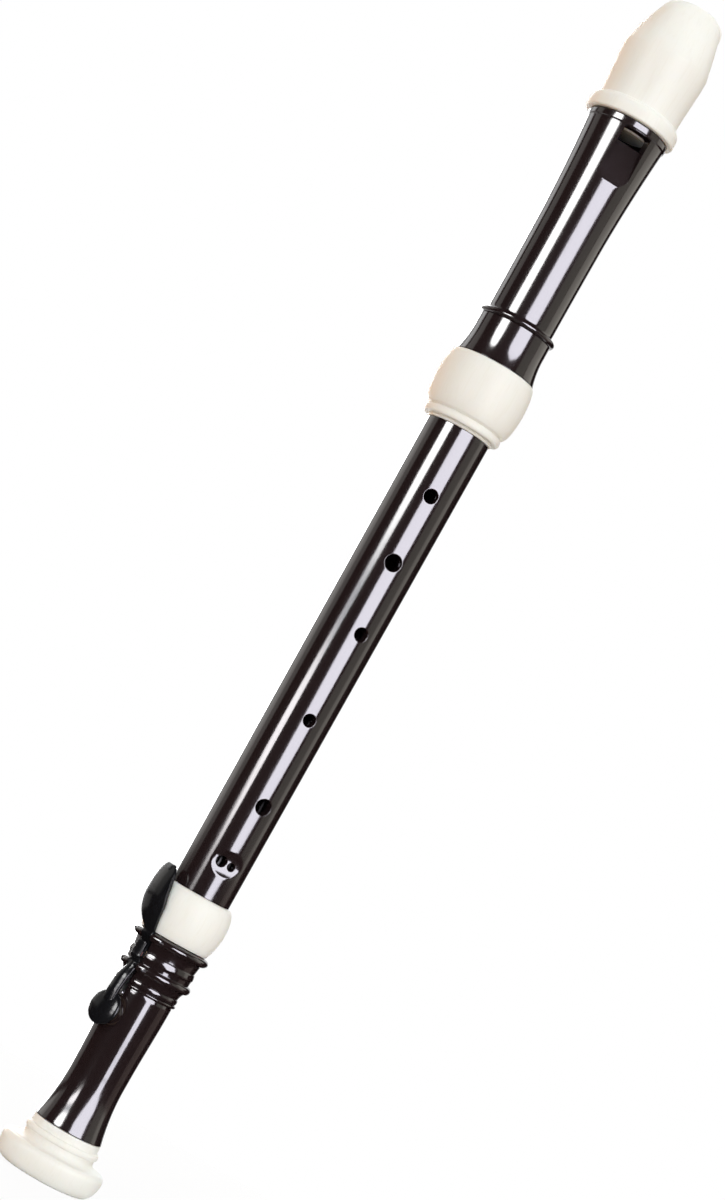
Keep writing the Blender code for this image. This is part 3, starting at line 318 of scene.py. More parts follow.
def spring_steel():
    """Drawn and ground steel of pins, spring and screw."""
    f = Finish("spring_steel", {"Metallic": 1.0})
    drawn = f.noise(2600, 3, f.stretched(1, 1, 0.08), 0.7)
    stain = f.noise(240, 3)
    colour = f.mixed(stain.over(0.58, 0.12), (0.60, 0.60, 0.61), (0.43, 0.41, 0.39))
    return f.set(Base_Color=colour, Roughness=0.2 + drawn * 0.16 + stain * 0.08,
                 Normal=f.raised(drawn, 0.000004))


def greased_rubber():
    """Black rubber of the seals, patchily shiny with cork grease."""
    f = Finish("greased_rubber", {"IOR": 1.5})
    grease = f.noise(380, 3)
    colour = f.mixed(grease, (0.013, 0.013, 0.014), (0.028, 0.027, 0.025))
    return f.set(Base_Color=colour, Roughness=0.62 - grease.over(0.52, 0.14) * 0.34,
                 Normal=f.raised(f.noise(3000, 2), 0.00001))


def pad_skin():
    """Tan skin over the key's pad, with fine pores."""
    f = Finish("pad_skin", {"Sheen Weight": 0.15})
    pores = f.cells(4200)
    stain = f.noise(300, 4)
    colour = f.mixed(stain, (0.50, 0.36, 0.22), (0.68, 0.53, 0.36))
    return f.set(Base_Color=f.mixed(pores.over(0.55, 0.2) * 0.35, colour, (0.33, 0.22, 0.13)),
                 Roughness=0.62 + stain * 0.2, Normal=f.raised(pores, 0.00003))


def sheet_cork():
    """Thin cork with dark pits between its grains."""
    f = Finish("sheet_cork", {})
    grains = f.cells(1500)
    pits = f.noise(1300, 4).over(0.62, 0.05)
    tint = f.mixed(f.noise(700, 2), (0.46, 0.29, 0.15), (0.60, 0.42, 0.25))
    return f.set(Base_Color=f.mixed(pits, tint, (0.16, 0.08, 0.04)), Roughness=0.8 + pits * 0.12,
                 Normal=f.raised(grains * 0.5 - pits, 0.00005))


def red_felt():
    """Dark red felt, all short crossed fibres."""
    f = Finish("red_felt", {"Sheen Weight": 0.5, "Sheen Roughness": 0.6})
    fibres = f.noise(5200, 4, f.stretched(1, 0.35, 0.6), 0.75)
    colour = f.mixed(fibres, (0.14, 0.018, 0.020), (0.33, 0.065, 0.060))
    return f.set(Base_Color=colour, Roughness=0.86 + fibres * 0.1, Normal=f.raised(fibres, 0.00012))


# ---------------------------------------------------------------- making pieces
def lathe_tree():
    """Geometry Nodes lathe: turns an outline round the bore."""
    tree = bpy.data.node_groups.new("lathe", "GeometryNodeTree")
    tree.is_modifier = True
    for name, kind in (("Outline", "NodeSocketGeometry"), ("Facets", "NodeSocketInt"),
                       ("Hub", "NodeSocketFloat")):
        tree.interface.new_socket(name, in_out="INPUT", socket_type=kind)
    tree.interface.new_socket("Turned", in_out="OUTPUT", socket_type="NodeSocketGeometry")
    given = tree.nodes.new("NodeGroupInput").outputs
    outline = add_node(tree, "GeometryNodeMeshToCurve", {}, {"Mesh": given["Outline"]})
    hub = add_node(tree, "GeometryNodeCurvePrimitiveCircle", {},
                   {"Resolution": given["Facets"], "Radius": given["Hub"]})
    upright = add_node(tree, "GeometryNodeSetCurveNormal", {"mode": "Z_UP"}, {"Curve": hub.outputs["Curve"]})
    turned = add_node(tree, "GeometryNodeCurveToMesh", {},
                      {"Curve": upright.outputs[0], "Profile Curve": outline.outputs[0]})
    closed = add_node(tree, "GeometryNodeMergeByDistance", {},
                      {"Geometry": turned.outputs[0], "Distance": 0.000001})
    smooth = add_node(tree, "GeometryNodeSetShadeSmooth", {}, {"Geometry": closed.outputs[0]})
    real = add_node(tree, "GeometryNodeRealizeInstances", {}, {"Geometry": smooth.outputs[0]})
    tree.links.new(real.outputs[0], tree.nodes.new("NodeGroupOutput").inputs[0])
    return tree


def new_object(name, mesh):
    """Object at the origin, shown in the scene."""
    made = bpy.data.objects.new(name, mesh)
    bpy.context.scene.collection.objects.link(made)
    return made


def made_of(name, shape):
    """Object with the faces of an edited mesh, which is freed."""
    mesh = bpy.data.meshes.new(name)
    shape.to_mesh(mesh)
    shape.free()
    return new_object(name, mesh)


def plain_mesh(made):
    """Turns what an object's modifiers make into its own plain mesh."""
    bpy.context.view_layer.update()
    mesh = bpy.data.meshes.new_from_object(made.evaluated_get(bpy.context.evaluated_depsgraph_get()))
    made.modifiers.clear()
    made.data = mesh
    return made


def tidied(mesh):
    """Closes a mesh's seams and points its faces outwards."""
    shape = bmesh.new()
    shape.from_mesh(mesh)
    bmesh.ops.remove_doubles(shape, verts=shape.verts, dist=0.000002)
    bmesh.ops.dissolve_degenerate(shape, edges=shape.edges, dist=0.0000005)
    bmesh.ops.recalc_face_normals(shape, faces=shape.faces)
    if shape.calc_volume(signed=True) < 0:
        bmesh.ops.reverse_faces(shape, faces=shape.faces)
    shape.to_mesh(mesh)
    shape.free()


def turned(name, outline, facets=FACETS):
    """Piece turned on the lathe from a closed outline, or from one that ends on the bore's axis."""
    hub = 0.001
    closed = outline[0][0] > 1e-6
    mesh = bpy.data.meshes.new(name)
    count = len(outline)
    edges = [(i, (i + 1) % count) for i in range(count if closed else count - 1)]
    mesh.from_pydata([(r - hub, -z, 0) for r, z in outline], edges, [])
    made = new_object(name, mesh)
    lathe = made.modifiers.new("lathe", "NODES")
    lathe.node_group = LATHE
    sockets = {item.name: item.identifier for item in LATHE.interface.items_tree if item.in_out == "INPUT"}
    lathe[sockets["Facets"]] = facets
    lathe[sockets["Hub"]] = hub
    plain_mesh(made)
    tidied(made.data)
    return made


def lofted(name, sections):
    """Closed body through sections of equally many points, each anticlockwise from above."""
    shape = bmesh.new()
    rows = [[shape.verts.new(point) for point in section] for section in sections]
    count = len(rows[0])
    for low, high in zip(rows, rows[1:]):
        for i in range(count):
            j = (i + 1) % count
            shape.faces.new((low[i], low[j], high[j], high[i]))
    shape.faces.new(reversed(rows[0]))
    shape.faces.new(rows[-1])
    return made_of(name, shape)


def bar(name, low, high):
    """Straight-sided block between two corners."""
    (x0, y0, z0), (x1, y1, z1) = low, high
    return lofted(name, [[(x0, y0, z), (x1, y0, z), (x1, y1, z), (x0, y1, z)] for z in (z0, z1)])


def rod(name, start, end, radius, facets=48):
    """Round rod between two points."""
    start, end = Vector(start), Vector(end)
    turn = (end - start).to_track_quat("Z", "X").to_matrix().to_4x4()
    shape = bmesh.new()
    bmesh.ops.create_cone(shape, cap_ends=True, segments=facets, radius1=radius, radius2=radius,
                          depth=(end - start).length, matrix=Matrix.Translation((start + end) / 2) @ turn)
    return made_of(name, shape)


def worked(piece, *jobs):
    """Fuses tools to a piece or cuts them away, in the order of (operation, tool)."""
    for operation, tool in jobs:
        cutter = piece.modifiers.new(tool.name, "BOOLEAN")
        cutter.operation, cutter.object, cutter.solver = operation, tool, "EXACT"
        tool.hide_render = True
    plain_mesh(piece)
    for _, tool in jobs:
        bpy.data.objects.remove(tool)
    return piece


def eased(piece, width, segments=3, angle=35):
    """Rounds the sharp edges of a piece."""
    bevel = piece.modifiers.new("eased", "BEVEL")
    bevel.width, bevel.segments, bevel.angle_limit = width, segments, math.radians(angle)
    bevel.limit_method, bevel.use_clamp_overlap = "ANGLE", True
    return plain_mesh(piece)


def facing(angle):
    """Turn about Z that takes the front, -Y, this far towards -X."""
    return Matrix.Rotation(-math.radians(angle), 4, "Z")


def fitted(piece, node, finish, crease=30, place=None):
    """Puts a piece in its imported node's stead, on that node's body and with its finish."""
    mesh = piece.data
    if place:
        mesh.transform(place)
    tidied(mesh)
    mesh.materials.clear()
    mesh.materials.append(FINISHES[finish])
    mesh.shade_smooth()
    mesh.set_sharp_from_angle(angle=math.radians(crease))
    piece.name = f"{node}_fine"
    body = next(b for b, nodes in frame["record"]["behaviour"]["bodies"].items() if node in nodes)
    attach(piece, body)
    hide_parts(node)


# ---------------------------------------------------------------- rings
def bell_ring():
    """Ivory bell ring, with the flat face that the recorder stands on."""
    widest, shoulder, cove = (0.0269, 0.0100), (0.0239, 0.0136), (0.0184, 0.0168)
    outer = [*quarter((0.0210, 0), widest, True, 24), *quarter(widest, shoulder, False)[1:],
             *quarter(shoulder, cove, True)[1:], *bead(0.0199, 0.0032, 0.0184, 0.0193),
             *quarter((0.0180, 0.0216), (0.0177, 0.0226), True, 5), (0.0176, BELL_TOP)]
    inner = [(0.0133, 0), (0.0133, BELL_TOP)]
    fitted(turned("bell", softened(tube_outline(outer, inner))), "foot_bell_ring", "ivory_plastic")


def foot_ring_side():
    """Outer side of the foot ring, going up."""
    low, widest, top = (0.0175, FOOT_RING_Z + GAP), (FOOT_RING_R, FOOT_RING_WIDEST_Z), (0.0163, FOOT_TOP)
    return [*bow(low, widest, 0.0007, 16), *quarter(widest, top, False, 20)[1:]]


def foot_ring():
    """Ivory ring round the foot's socket, with a lip over the tube's end."""
    inner = [(RING_BORE_R[0], FOOT_RING_Z + GAP), (RING_BORE_R[0], FOOT_TOP - LIP_H),
             (SOCKET_R[0], FOOT_TOP - LIP_H), (SOCKET_R[0], FOOT_TOP)]
    fitted(turned("foot_ring", softened(tube_outline(foot_ring_side(), inner))),
           "foot_socket_ring", "ivory_plastic")


def head_ring():
    """Ivory bulb round the head's socket, with a bead and a rim below it."""
    bulb_low, widest = (0.0200, MIDDLE_TOP + 0.0061), (0.0235, MIDDLE_TOP + 0.0208)
    outer = [*bead(MIDDLE_TOP + 0.0008, 0.0016, 0.0166, 0.0172, 6),
             *bead(MIDDLE_TOP + 0.0035, 0.0038, 0.0193, 0.0203),
             *bulb(bulb_low, widest, 0.5, 24),
             *reversed(bulb((0.0212, HEAD_RING_TOP), widest, 0.62, 24)[:-1])]
    inner = [(SOCKET_R[1], MIDDLE_TOP), (SOCKET_R[1], MIDDLE_TOP + LIP_H),
             (RING_BORE_R[1], MIDDLE_TOP + LIP_H), (RING_BORE_R[1], HEAD_RING_TOP)]
    fitted(turned("head_ring", softened(tube_outline(outer, inner))), "head_socket_ring", "ivory_plastic")


def seals():
    """Rubber rings in the grooves of the two tenons."""
    thick, proud = 0.0007, 0.0002
    middles = (("foot", TENON_R[0], FOOT_TOP + GAP - TENON_H[0] / 2),
               ("head", TENON_R[1], MIDDLE_TOP - GAP + TENON_H[1] / 2))
    for tenon, radius, middle in middles:
        for place, z in (("low", middle - SEAL_SPACING), ("high", middle + SEAL_SPACING)):
            centre = radius + proud - thick
            outline = [(centre + thick * math.cos(t), z - thick * math.sin(t))
                       for t in steps(0, 2 * math.pi, 20)[:-1]]
            fitted(turned("seal", outline, 128), f"{tenon}_seal_{place}", "seal_rubber")


# ---------------------------------------------------------------- foot joint
def foot_side():
    """Outer side of the foot between its two rings, going up."""
    body, waist, root, channel = BELL_TOP + GAP, 0.0143, 0.0167, 0.0169
    waist_low = BELL_TOP + 0.0310
    return [*bow((0.0176, body), (waist, waist_low), -0.0010),
            *ease((waist, waist_low + 0.001), (0.0152, 0.0990), 30),
            *bead(0.1008, 0.0019, 0.0150, 0.0164),
            *bead(0.1032, 0.0028, 0.0154, 0.0160),
            *bow((0.0155, 0.1050), (channel, CUP_PIN_Z - BEAD_H / 2 + 0.0003), -0.0002, 10),
            *bead(CUP_PIN_Z + 0.0003, BEAD_H, channel, CUP_BEAD_R)[1:],
            *quarter((channel, 0.1129), (0.0175, 0.1158), False, 8),
            *quarter((0.0175, 0.1158), (root, 0.1190), False, 8)[1:],
            *bead(TOUCH_PIN_Z, 0.0047, root, TOUCH_BEAD_R)[1:],
            (root, FOOT_RING_Z)]


def foot_joint():
    """Dark foot with its waist, the two beads that carry the key, and the tone hole."""
    wall_top = FOOT_TOP - LIP_H - GAP
    outer = [(RING_BORE_R[0] - 0.0022, GAP), (0.0130, BELL_TOP + GAP), *foot_side(),
             (WALL_R[0], FOOT_RING_Z), (WALL_R[0], wall_top)]
    floor = FOOT_TOP - SOCKET_DEPTH[0]
    inner = [(FOOT_BORE_R, GAP), (FOOT_BORE_R, floor), (SOCKET_R[0], floor), (SOCKET_R[0], wall_top)]
    tube = turned("foot", softened(tube_outline(outer, inner), 0.0002))
    slot, out, groove = LEVER_W / 2 + 0.0004, 0.0222, 0.0018
    chimney = rod("chimney", (0, -0.0113, TONE_HOLE_Z), (0, -CHIMNEY_RHO, TONE_HOLE_Z), 0.0064, 96)
    tools = [("UNION", eased(chimney, 0.0002, 2)),
             ("DIFFERENCE", bar("key_channel", (-slot, -out, CUP_PIN_Z - BEAD_H),
                                (slot, -CHANNEL_RHO, FOOT_RING_Z + GAP / 2))),
             ("DIFFERENCE", bar("spring_groove", (-groove, -out, 0.0942),
                                (groove, -SPRING_FLOOR_RHO, CUP_PIN_Z - BEAD_H / 2))),
             ("DIFFERENCE", rod("tone_hole", (0, 0, TONE_HOLE_Z), (0, -out, TONE_HOLE_Z), TONE_HOLE_R, 96))]
    for z, rho in ((TOUCH_PIN_Z, TOUCH_PIN_RHO), (CUP_PIN_Z, CUP_PIN_RHO)):
        tools.append(("DIFFERENCE", rod("pin_hole", (-out, -rho, z), (out, -rho, z), PIN_HOLE_R)))
    tools.append(("DIFFERENCE", rod("screw_hole", (0, -0.0115, SCREW_Z), (0, -out, SCREW_Z), SCREW_HOLE_R)))
    for _, tool in tools:
        tool.data.transform(facing(KEY_ANGLE))
    fitted(worked(tube, *tools), "foot_tube", "dark_plastic", crease=26)


# ---------------------------------------------------------------- middle joint
COLUMNS = 160
ROUNDING = 0.00035              # of each finger hole's edge
DISH_ANGLE = 1.0                # towards +X, of the hollow round the double hole
DISH_Z, DISH_DEPTH = FOOT_TOP + 0.01895, 0.00160
DISH_ACROSS, DISH_UP = 0.072, 0.0134    # radii of its floor: crowned across, and hollow going up
DISH_HALF, DISH_REACH = 0.0058, 0.0085  # half heights of its close rows, and of where it is drawn
# Height, angle towards +X, radius, and the columns that its patch spans
HOLES = [
    ("thumb", MIDDLE_TOP - 0.0175, 180.0, 0.00325, (72, 88)),
    ("first", MIDDLE_TOP - 0.0353, -3.0, 0.0035, (-9, 7)),
    ("second", MIDDLE_TOP - 0.0715, -3.5, 0.00415, (-10, 7)),
    ("third", MIDDLE_TOP - 0.1086, 9.5, 0.00345, (-4, 12)),
    ("fourth", FOOT_TOP + 0.0975, 3.5, 0.00315, (-6, 9)),
    ("fifth", FOOT_TOP + 0.0510, 8.0, 0.00395, (-5, 12)),
    ("sixth", FOOT_TOP + 0.0192, -9.5, 0.0027, (-11, 1)),
    ("sixth_half", FOOT_TOP + 0.0187, 11.5, 0.0019, (1, 10)),
]


def middle_radius(z):
    """Radius of the middle joint's outside, which tapers downwards."""
    share = (z - FOOT_TOP - GAP) / (MIDDLE_TOP - FOOT_TOP - 2 * GAP)
    return 0.0156 + 0.0008 * share


def middle_bore(z):
    """Radius of the middle joint's bore."""
    low, top = FOOT_TOP + GAP - TENON_H[0], MIDDLE_TOP - GAP + TENON_H[1]
    return MIDDLE_BORE_R[0] + (MIDDLE_BORE_R[1] - MIDDLE_BORE_R[0]) * (z - low) / (top - low)


def dish_depth(x, z):
    """How far the hollow round the double hole goes in, across and up from its middle."""
    radius = middle_radius(z)
    floor = radius - DISH_DEPTH - x**2 / DISH_ACROSS / 2 + (z - DISH_Z) ** 2 / DISH_UP / 2
    depth = math.sqrt(radius**2 - x**2) - floor
    return (depth + math.sqrt(depth**2 + 0.00010**2)) / 2


def outside_at(x, z, depth=0.0):
    """Distance in front of the axis of the joint's outside, less a depth."""
    hollow = dish_depth(x, z) if abs(z - DISH_Z) < DISH_REACH else 0.0
    return math.sqrt(middle_radius(z) ** 2 - x**2) - hollow - depth


def spun(x, y, z, angle):
    """Point x to the side and y in front of the axis, turned this far towards +X."""
    t = math.radians(angle)
    return Vector((x * math.cos(t) + y * math.sin(t), x * math.sin(t) - y * math.cos(t), z))


def middle_heights():
    """Rows of the middle joint's body: close together past each hole, and far apart between them."""
    bands, margin = [], 0.0017
    for name, z, _, radius, _ in HOLES:
        if name == "sixth_half":
            continue
        if name == "sixth":
            z, radius = DISH_Z, DISH_HALF
        bands.append((z - radius - margin, z + radius + margin, 18 if radius < 0.005 else 32))
    bands.sort()
    rows, last = [], FOOT_TOP + GAP
    for low, high, parts in bands:
        rows += steps(last, low, max(2, round((low - last) / 0.004)))[:-1]
        rows += steps(low, high, parts)[:-1]
        last = high
    return rows + steps(last, MIDDLE_TOP - GAP, 4), bands


def middle_joint():
    """Dark middle joint with its finger holes, each with a rounded edge and a drilled wall."""
    body, bands = middle_heights()
    low_end, top_end = body[0] - TENON_H[0], body[-1] + TENON_H[1]
    outer = [*softened_side(tenon(low_end, body[0], TENON_R[0], -1)), *((None, z) for z in body),
             *softened_side(tenon(body[-1], top_end, TENON_R[1], 1))]
    inner = [(middle_bore(z), z) for z in [low_end, *body, top_end]]
    angles = [360 * i / COLUMNS for i in range(COLUMNS)]
    shape = bmesh.new()

    def outer_ring(radius, z):
        if radius is not None:
            return [shape.verts.new(spun(0, radius, z, a)) for a in angles]
        ring = []
        for a in angles:
            across = middle_radius(z) * math.sin(math.radians(a - DISH_ANGLE))
            near = math.cos(math.radians(a - DISH_ANGLE)) > 0.5
            ring.append(shape.verts.new(
                spun(across, outside_at(across, z), z, DISH_ANGLE) if near
                else spun(0, middle_radius(z), z, a)))
        return ring

    outer_rings = [outer_ring(r, z) for r, z in outer]
    inner_rings = [[shape.verts.new(spun(0, r, z, widened(a))) for a in angles] for r, z in inner]
    first_body = next(i for i, (r, _) in enumerate(outer) if r is None)
    patches = []
    for name, z, angle, radius, (left, right) in HOLES:
        low, high, _ = next(b for b in bands if b[0] < z < b[1])
        bottom = min(range(len(body)), key=lambda i: abs(body[i] - low))
        top = min(range(len(body)), key=lambda i: abs(body[i] - high))
        patches.append((name, z, angle, radius, left, right, bottom, top))

    def skin(rings, offset, outward):
        holes = [(left, right, bottom + offset, top + offset) for *_, left, right, bottom, top in patches]
        for i, (low, high) in enumerate(zip(rings, rings[1:])):
            for c in range(COLUMNS):
                column = c if c < COLUMNS / 2 + 20 else c - COLUMNS
                if any(left <= column < right and b <= i < t for left, right, b, t in holes):
                    continue
                d = (c + 1) % COLUMNS
                face = (low[c], low[d], high[d], high[c])
                shape.faces.new(face if outward else reversed(face))

    skin(outer_rings, first_body, True)
    skin(inner_rings, 1, False)
    for end in (0, -1):
        for c in range(COLUMNS):
            d = (c + 1) % COLUMNS
            shape.faces.new((outer_rings[end][c], outer_rings[end][d], inner_rings[end][d],
                             inner_rings[end][c]))
    for name, z, angle, radius, left, right, bottom, top in patches:
        turn = DISH_ANGLE if name.startswith("sixth") else angle
        side = middle_radius(z) * math.sin(math.radians(angle - turn))

        def loop(rings, offset):
            low, high = bottom + offset, top + offset
            columns = range(left, right)
            return ([rings[low][c % COLUMNS] for c in columns]
                    + [rings[i][right % COLUMNS] for i in range(low, high)]
                    + [rings[high][c % COLUMNS] for c in reversed(range(left + 1, right + 1))]
                    + [rings[i][left % COLUMNS] for i in reversed(range(low + 1, high + 1))])

        drill(shape, loop(outer_rings, first_body), loop(inner_rings, 1), z, turn, side, radius)
    bmesh.ops.delete(shape, geom=[v for v in shape.verts if not v.link_faces], context="VERTS")
    fitted(made_of("middle", shape), "middle_tube", "dark_plastic", crease=40)


def drill(shape, mouth, exit_loop, z, turn, side, radius):
    """Wall of one hole, from the patch round its mouth to the patch round its exit in the bore."""
    def flat(vertex):
        local = facing(turn) @ vertex.co
        return Vector((local.x - side, local.z - z))

    def ring(loop, share, reach, height):
        made = []
        for vertex in loop:
            start = flat(vertex)
            end = start.normalized() * reach
            x, up = start * (1 - share) + end * share
            made.append(shape.verts.new(spun(x + side, height(x + side, z + up), z + up, turn)))
        return made

    def on_bore(x, at):
        return math.sqrt(middle_bore(at) ** 2 - x**2)

    rings = [mouth]
    for share in steps(0, 1, 12)[1:]:
        rings.append(ring(mouth, share, radius + ROUNDING, outside_at))
    for t in steps(0, math.pi / 2, 6)[1:]:
        depth = ROUNDING * (1 - math.cos(t))
        rings.append(ring(mouth, 1, radius + ROUNDING * (1 - math.sin(t)),
                          lambda x, at, depth=depth: outside_at(x, at, depth)))
    rings += [ring(exit_loop, share, radius, on_bore) for share in reversed(steps(0, 1, 4)[1:])]
    rings.append(exit_loop)
    for near, far in zip(rings, rings[1:]):
        for i in range(len(near)):
            j = (i + 1) % len(near)
            shape.faces.new((near[i], near[j], far[j], far[i]))


def widened(angle):
    """Angle of a column on the bore, spread at the front so that each hole's exit has room."""
    knots = [(-180, -180), (-120, -120), (-24.75, -46), (2.25, 4), (22.5, 37), (120, 120), (180, 180)]
    signed = (angle + 180) % 360 - 180
    return radius_at([(wide, narrow) for narrow, wide in knots], signed)


def tenon(low, high, radius, up):
    """Side of a tenon with a groove for each seal, going up. up is -1 where it points down."""
    middle, depth, half, chamfer = (low + high) / 2, radius - 0.0015, 0.0010, 0.0006
    side = [(radius - chamfer, low), (radius, low + chamfer)] if up < 0 else [(radius, low)]
    for seat in (middle - SEAL_SPACING, middle + SEAL_SPACING):
        side += [(radius, seat - half), (depth, seat - half), (depth, seat + half), (radius, seat + half)]
    return [*side, (radius, high)] if up < 0 else [*side, (radius, high - chamfer), (radius - chamfer, high)]


def softened_side(side):
    """Open side with its inner corners rounded."""
    closed = softened([*side, (0, side[-1][1]), (0, side[0][1])], 0.0002, 3)
    return [p for p in closed if p[0] > 1e-6]


# ---------------------------------------------------------------- head joint
WINDOW_TOP, WINDOW_LOW, WINDOW_HALF, RAMP_H = 0.5703, 0.5636, 0.00725, 0.0223


def head_side():
    """Outer side of the head between its ring and its cap, going up."""
    low, neck, bead_z = HEAD_RING_TOP + GAP, 0.0188, HEAD_RING_TOP + 0.0227
    straight = bead_z + 0.0017
    flare_low = (0.0176, straight + 0.0530)
    return [*bow((0.0210, low), (neck, low + 0.0130), -0.0004),
            (neck, bead_z - 0.0018),
            *bead(bead_z, 0.0034, 0.0182, 0.0202)[:8], *bead(bead_z, 0.0034, 0.0178, 0.0202)[8:],
            *quarter((0.0178, straight), (0.0173, straight + 0.0016), True, 8)[1:],
            *bow((0.0173, straight + 0.0020), flare_low, -0.00008, 20),
            *bow(flare_low, (0.0204, CAP_Z - 0.0035), -0.0004, 40)[1:],
            (0.0209, CAP_Z - 0.0031), (0.0209, CAP_Z)]


def windway_roof(name):
    """Arched channel that lets the breath pass over the block."""
    low, top, half = WINDOW_TOP - 0.002, TIP_Z + 0.002, 0.0065
    roof = turned(name, plug_outline([(HEAD_BORE_R + 0.0014, low), (HEAD_BORE_R + 0.0014, top)]), 128)
    return worked(roof, ("INTERSECT", bar("sides", (-half, -0.044, low - 0.002), (half, 0, top + 0.002))))


def window_tool():
    """Cutter for the window and its ramp, flared a little so that its edges come out eased."""
    edge = HEAD_BORE_R + GAP + 0.0005
    side = head_side()
    surface = radius_at(side, WINDOW_LOW - RAMP_H)
    lean = (surface - edge) / RAMP_H
    ease_w, out = 0.00022, 0.0229
    sections = []
    for z in [*steps(WINDOW_LOW - (out - edge) / lean, WINDOW_LOW, 60), WINDOW_LOW + 1e-6, WINDOW_TOP]:
        floor = edge + lean * (WINDOW_LOW - z) if z <= WINDOW_LOW else HEAD_BORE_R - 0.002
        half = WINDOW_HALF + 0.0009 * min(1, max(0, WINDOW_LOW - z) / RAMP_H)
        skin = math.sqrt(radius_at(side, z) ** 2 - half**2)
        lip = max(skin - ease_w, floor + 0.00001)
        mid = max(skin - ease_w * 0.4, lip + 0.00001)
        brim = max(skin + ease_w * 0.3, mid + 0.00001)
        top = max(out, brim + 0.0001)
        across = (half, half, half + ease_w * 0.3, half + ease_w, half + ease_w)
        ys = (floor, lip, mid, brim, top)
        side_points = list(zip(across, ys))
        sections.append([(x, -y, z) for x, y in reversed(side_points)]
                        + [(-x, -y, z) for x, y in side_points])
    return lofted("window", sections)


def head_joint():
    """Dark head with its collar, window and ramp."""
    low, ceiling = MIDDLE_TOP + LIP_H + GAP, MIDDLE_TOP + SOCKET_DEPTH[1]
    spigot_r, spigot_top = 0.0165, CAP_Z + 0.0276
    outer = [(WALL_R[1], low), (WALL_R[1], HEAD_RING_TOP + GAP), *head_side(), (spigot_r, CAP_Z),
             (spigot_r, spigot_top)]
    inner = [(SOCKET_R[1], low), (SOCKET_R[1], ceiling), (HEAD_BORE_R + GAP, ceiling),
             (HEAD_BORE_R + GAP, spigot_top)]
    tube = turned("head", softened(tube_outline(outer, inner), 0.0002))
    fitted(worked(tube, ("DIFFERENCE", window_tool()), ("DIFFERENCE", windway_roof("head_windway"))),
           "head_tube", "dark_plastic", crease=20)


# ---------------------------------------------------------------- beak
BELLY_R, BELLY_Z = 0.0220, 0.6110   # the cap where its beak begins
BEAK_H, TIP_ROUND = 0.0260, 0.0058  # of the beak, and of the rounding at its tip
TIP_HALF, TIP_FRONT = 0.0150, 0.0156    # half the tip's width, and how far forwards it reaches


def lip_line(z):
    """How far back the beak reaches where the slanted hollow for the lower lip cuts it."""
    start_y, start_z, end_y, end_z = 0.0240, 0.6125, 0.0054 - TIP_FRONT, 0.6390
    share = (z - start_z) / (end_z - start_z)
    return 1.0 if share <= 0 else end_y + (start_y - end_y) * (1 - share) ** 2


def beak_section(z, parts=128):
    """Outside of the cap at a height: a circle below, and flatter and leaner towards the tip."""
    rise = max(0.0, (z - BELLY_Z) / BEAK_H)
    corner = max(0.0, (z - TIP_Z) / TIP_ROUND + 1)
    half = BELLY_R + (TIP_HALF - BELLY_R) * rise - TIP_ROUND * (1 - math.sqrt(max(0.0, 1 - corner**2)))
    front = BELLY_R + (TIP_FRONT - BELLY_R) * rise
    power, back = 2 / (2 + rise), lip_line(z)
    section = []
    for t in steps(0, 2 * math.pi, parts)[:-1]:
        x, y = math.cos(t), math.sin(t)
        depth = front if y < 0 else half
        x, y = half * math.copysign(abs(x) ** power, x), depth * math.copysign(abs(y) ** power, y)
        over = y - back
        section.append((x, y - (over + math.sqrt(over**2 + 0.0006**2)) / 2 if over > -0.02 else y, z))
    return section


def beak_cap():
    """Ivory cap: a flange, a round body, and the beak with its windway."""
    low, flange_top, waist, belly = CAP_Z + GAP, CAP_Z + 0.0078, 0.0206, (BELLY_R, BELLY_Z)
    cove = (waist + 0.0010, flange_top)
    side = [*quarter((0.0225, low), (0.0235, low + 0.0010), True, 8),
            *quarter((0.0235, (low + flange_top) / 2), cove, False, 14),
            *quarter(cove, (waist, flange_top + 0.0012), False, 4)[1:],
            *ease((waist, flange_top + 0.0018), belly, 30)]
    heights = [*steps(BELLY_Z, TIP_Z - TIP_ROUND, 44)[1:],
               *(TIP_Z - TIP_ROUND * (1 - math.sin(t)) for t in steps(0, math.pi / 2, 14)[1:])]
    sections = [[(r * math.cos(t), r * math.sin(t), z) for t in steps(0, 2 * math.pi, 128)[:-1]]
                for r, z in side] + [beak_section(z) for z in heights]
    cap = lofted("cap", sections)
    socket = turned("cap_socket", plug_outline([(0.0168, CAP_Z - 0.002), (0.0168, CAP_Z + 0.0279)]), 128)
    well = turned("block_hole", plug_outline([(HEAD_BORE_R + GAP, CAP_Z - 0.004),
                                              (HEAD_BORE_R + GAP, TIP_Z + 0.002)]), 128)
    fitted(worked(cap, ("DIFFERENCE", socket), ("DIFFERENCE", well),
                  ("DIFFERENCE", windway_roof("cap_windway"))), "beak_cap", "ivory_plastic", crease=26)


def windway_block():
    """Ivory block in the head's top, with the windway's floor along its front."""
    low, top = WINDOW_TOP, TIP_Z - GAP
    side = [(HEAD_BORE_R - 0.0016, low), (HEAD_BORE_R, low + 0.0016),
            *bow((HEAD_BORE_R, low + 0.0019), (HEAD_BORE_R, top), 0, 40)]
    block = turned("block", plug_outline(side), 128)
    heights = steps(0.6127, 0.6390, 32)
    behind = 0.0300
    cut = lofted("lip_cut", [[(-0.0240, lip_line(z), z), (0.0240, lip_line(z), z),
                              (0.0240, behind, z), (-0.0240, behind, z)] for z in heights])
    fitted(worked(block, ("DIFFERENCE", cut)), "windway_block", "ivory_plastic")


# ---------------------------------------------------------------- key
def ring_slice(z, start, end, inner, outer, parts=14):
    """Section of a curved bar: a slice of a ring between two angles from -Y towards -X."""
    def point(angle, radius):
        return -radius * math.sin(math.radians(angle)), -radius * math.cos(math.radians(angle)), z
    angles = steps(start, end, parts)
    return [point(a, inner) for a in angles] + [point(a, outer) for a in reversed(angles)]


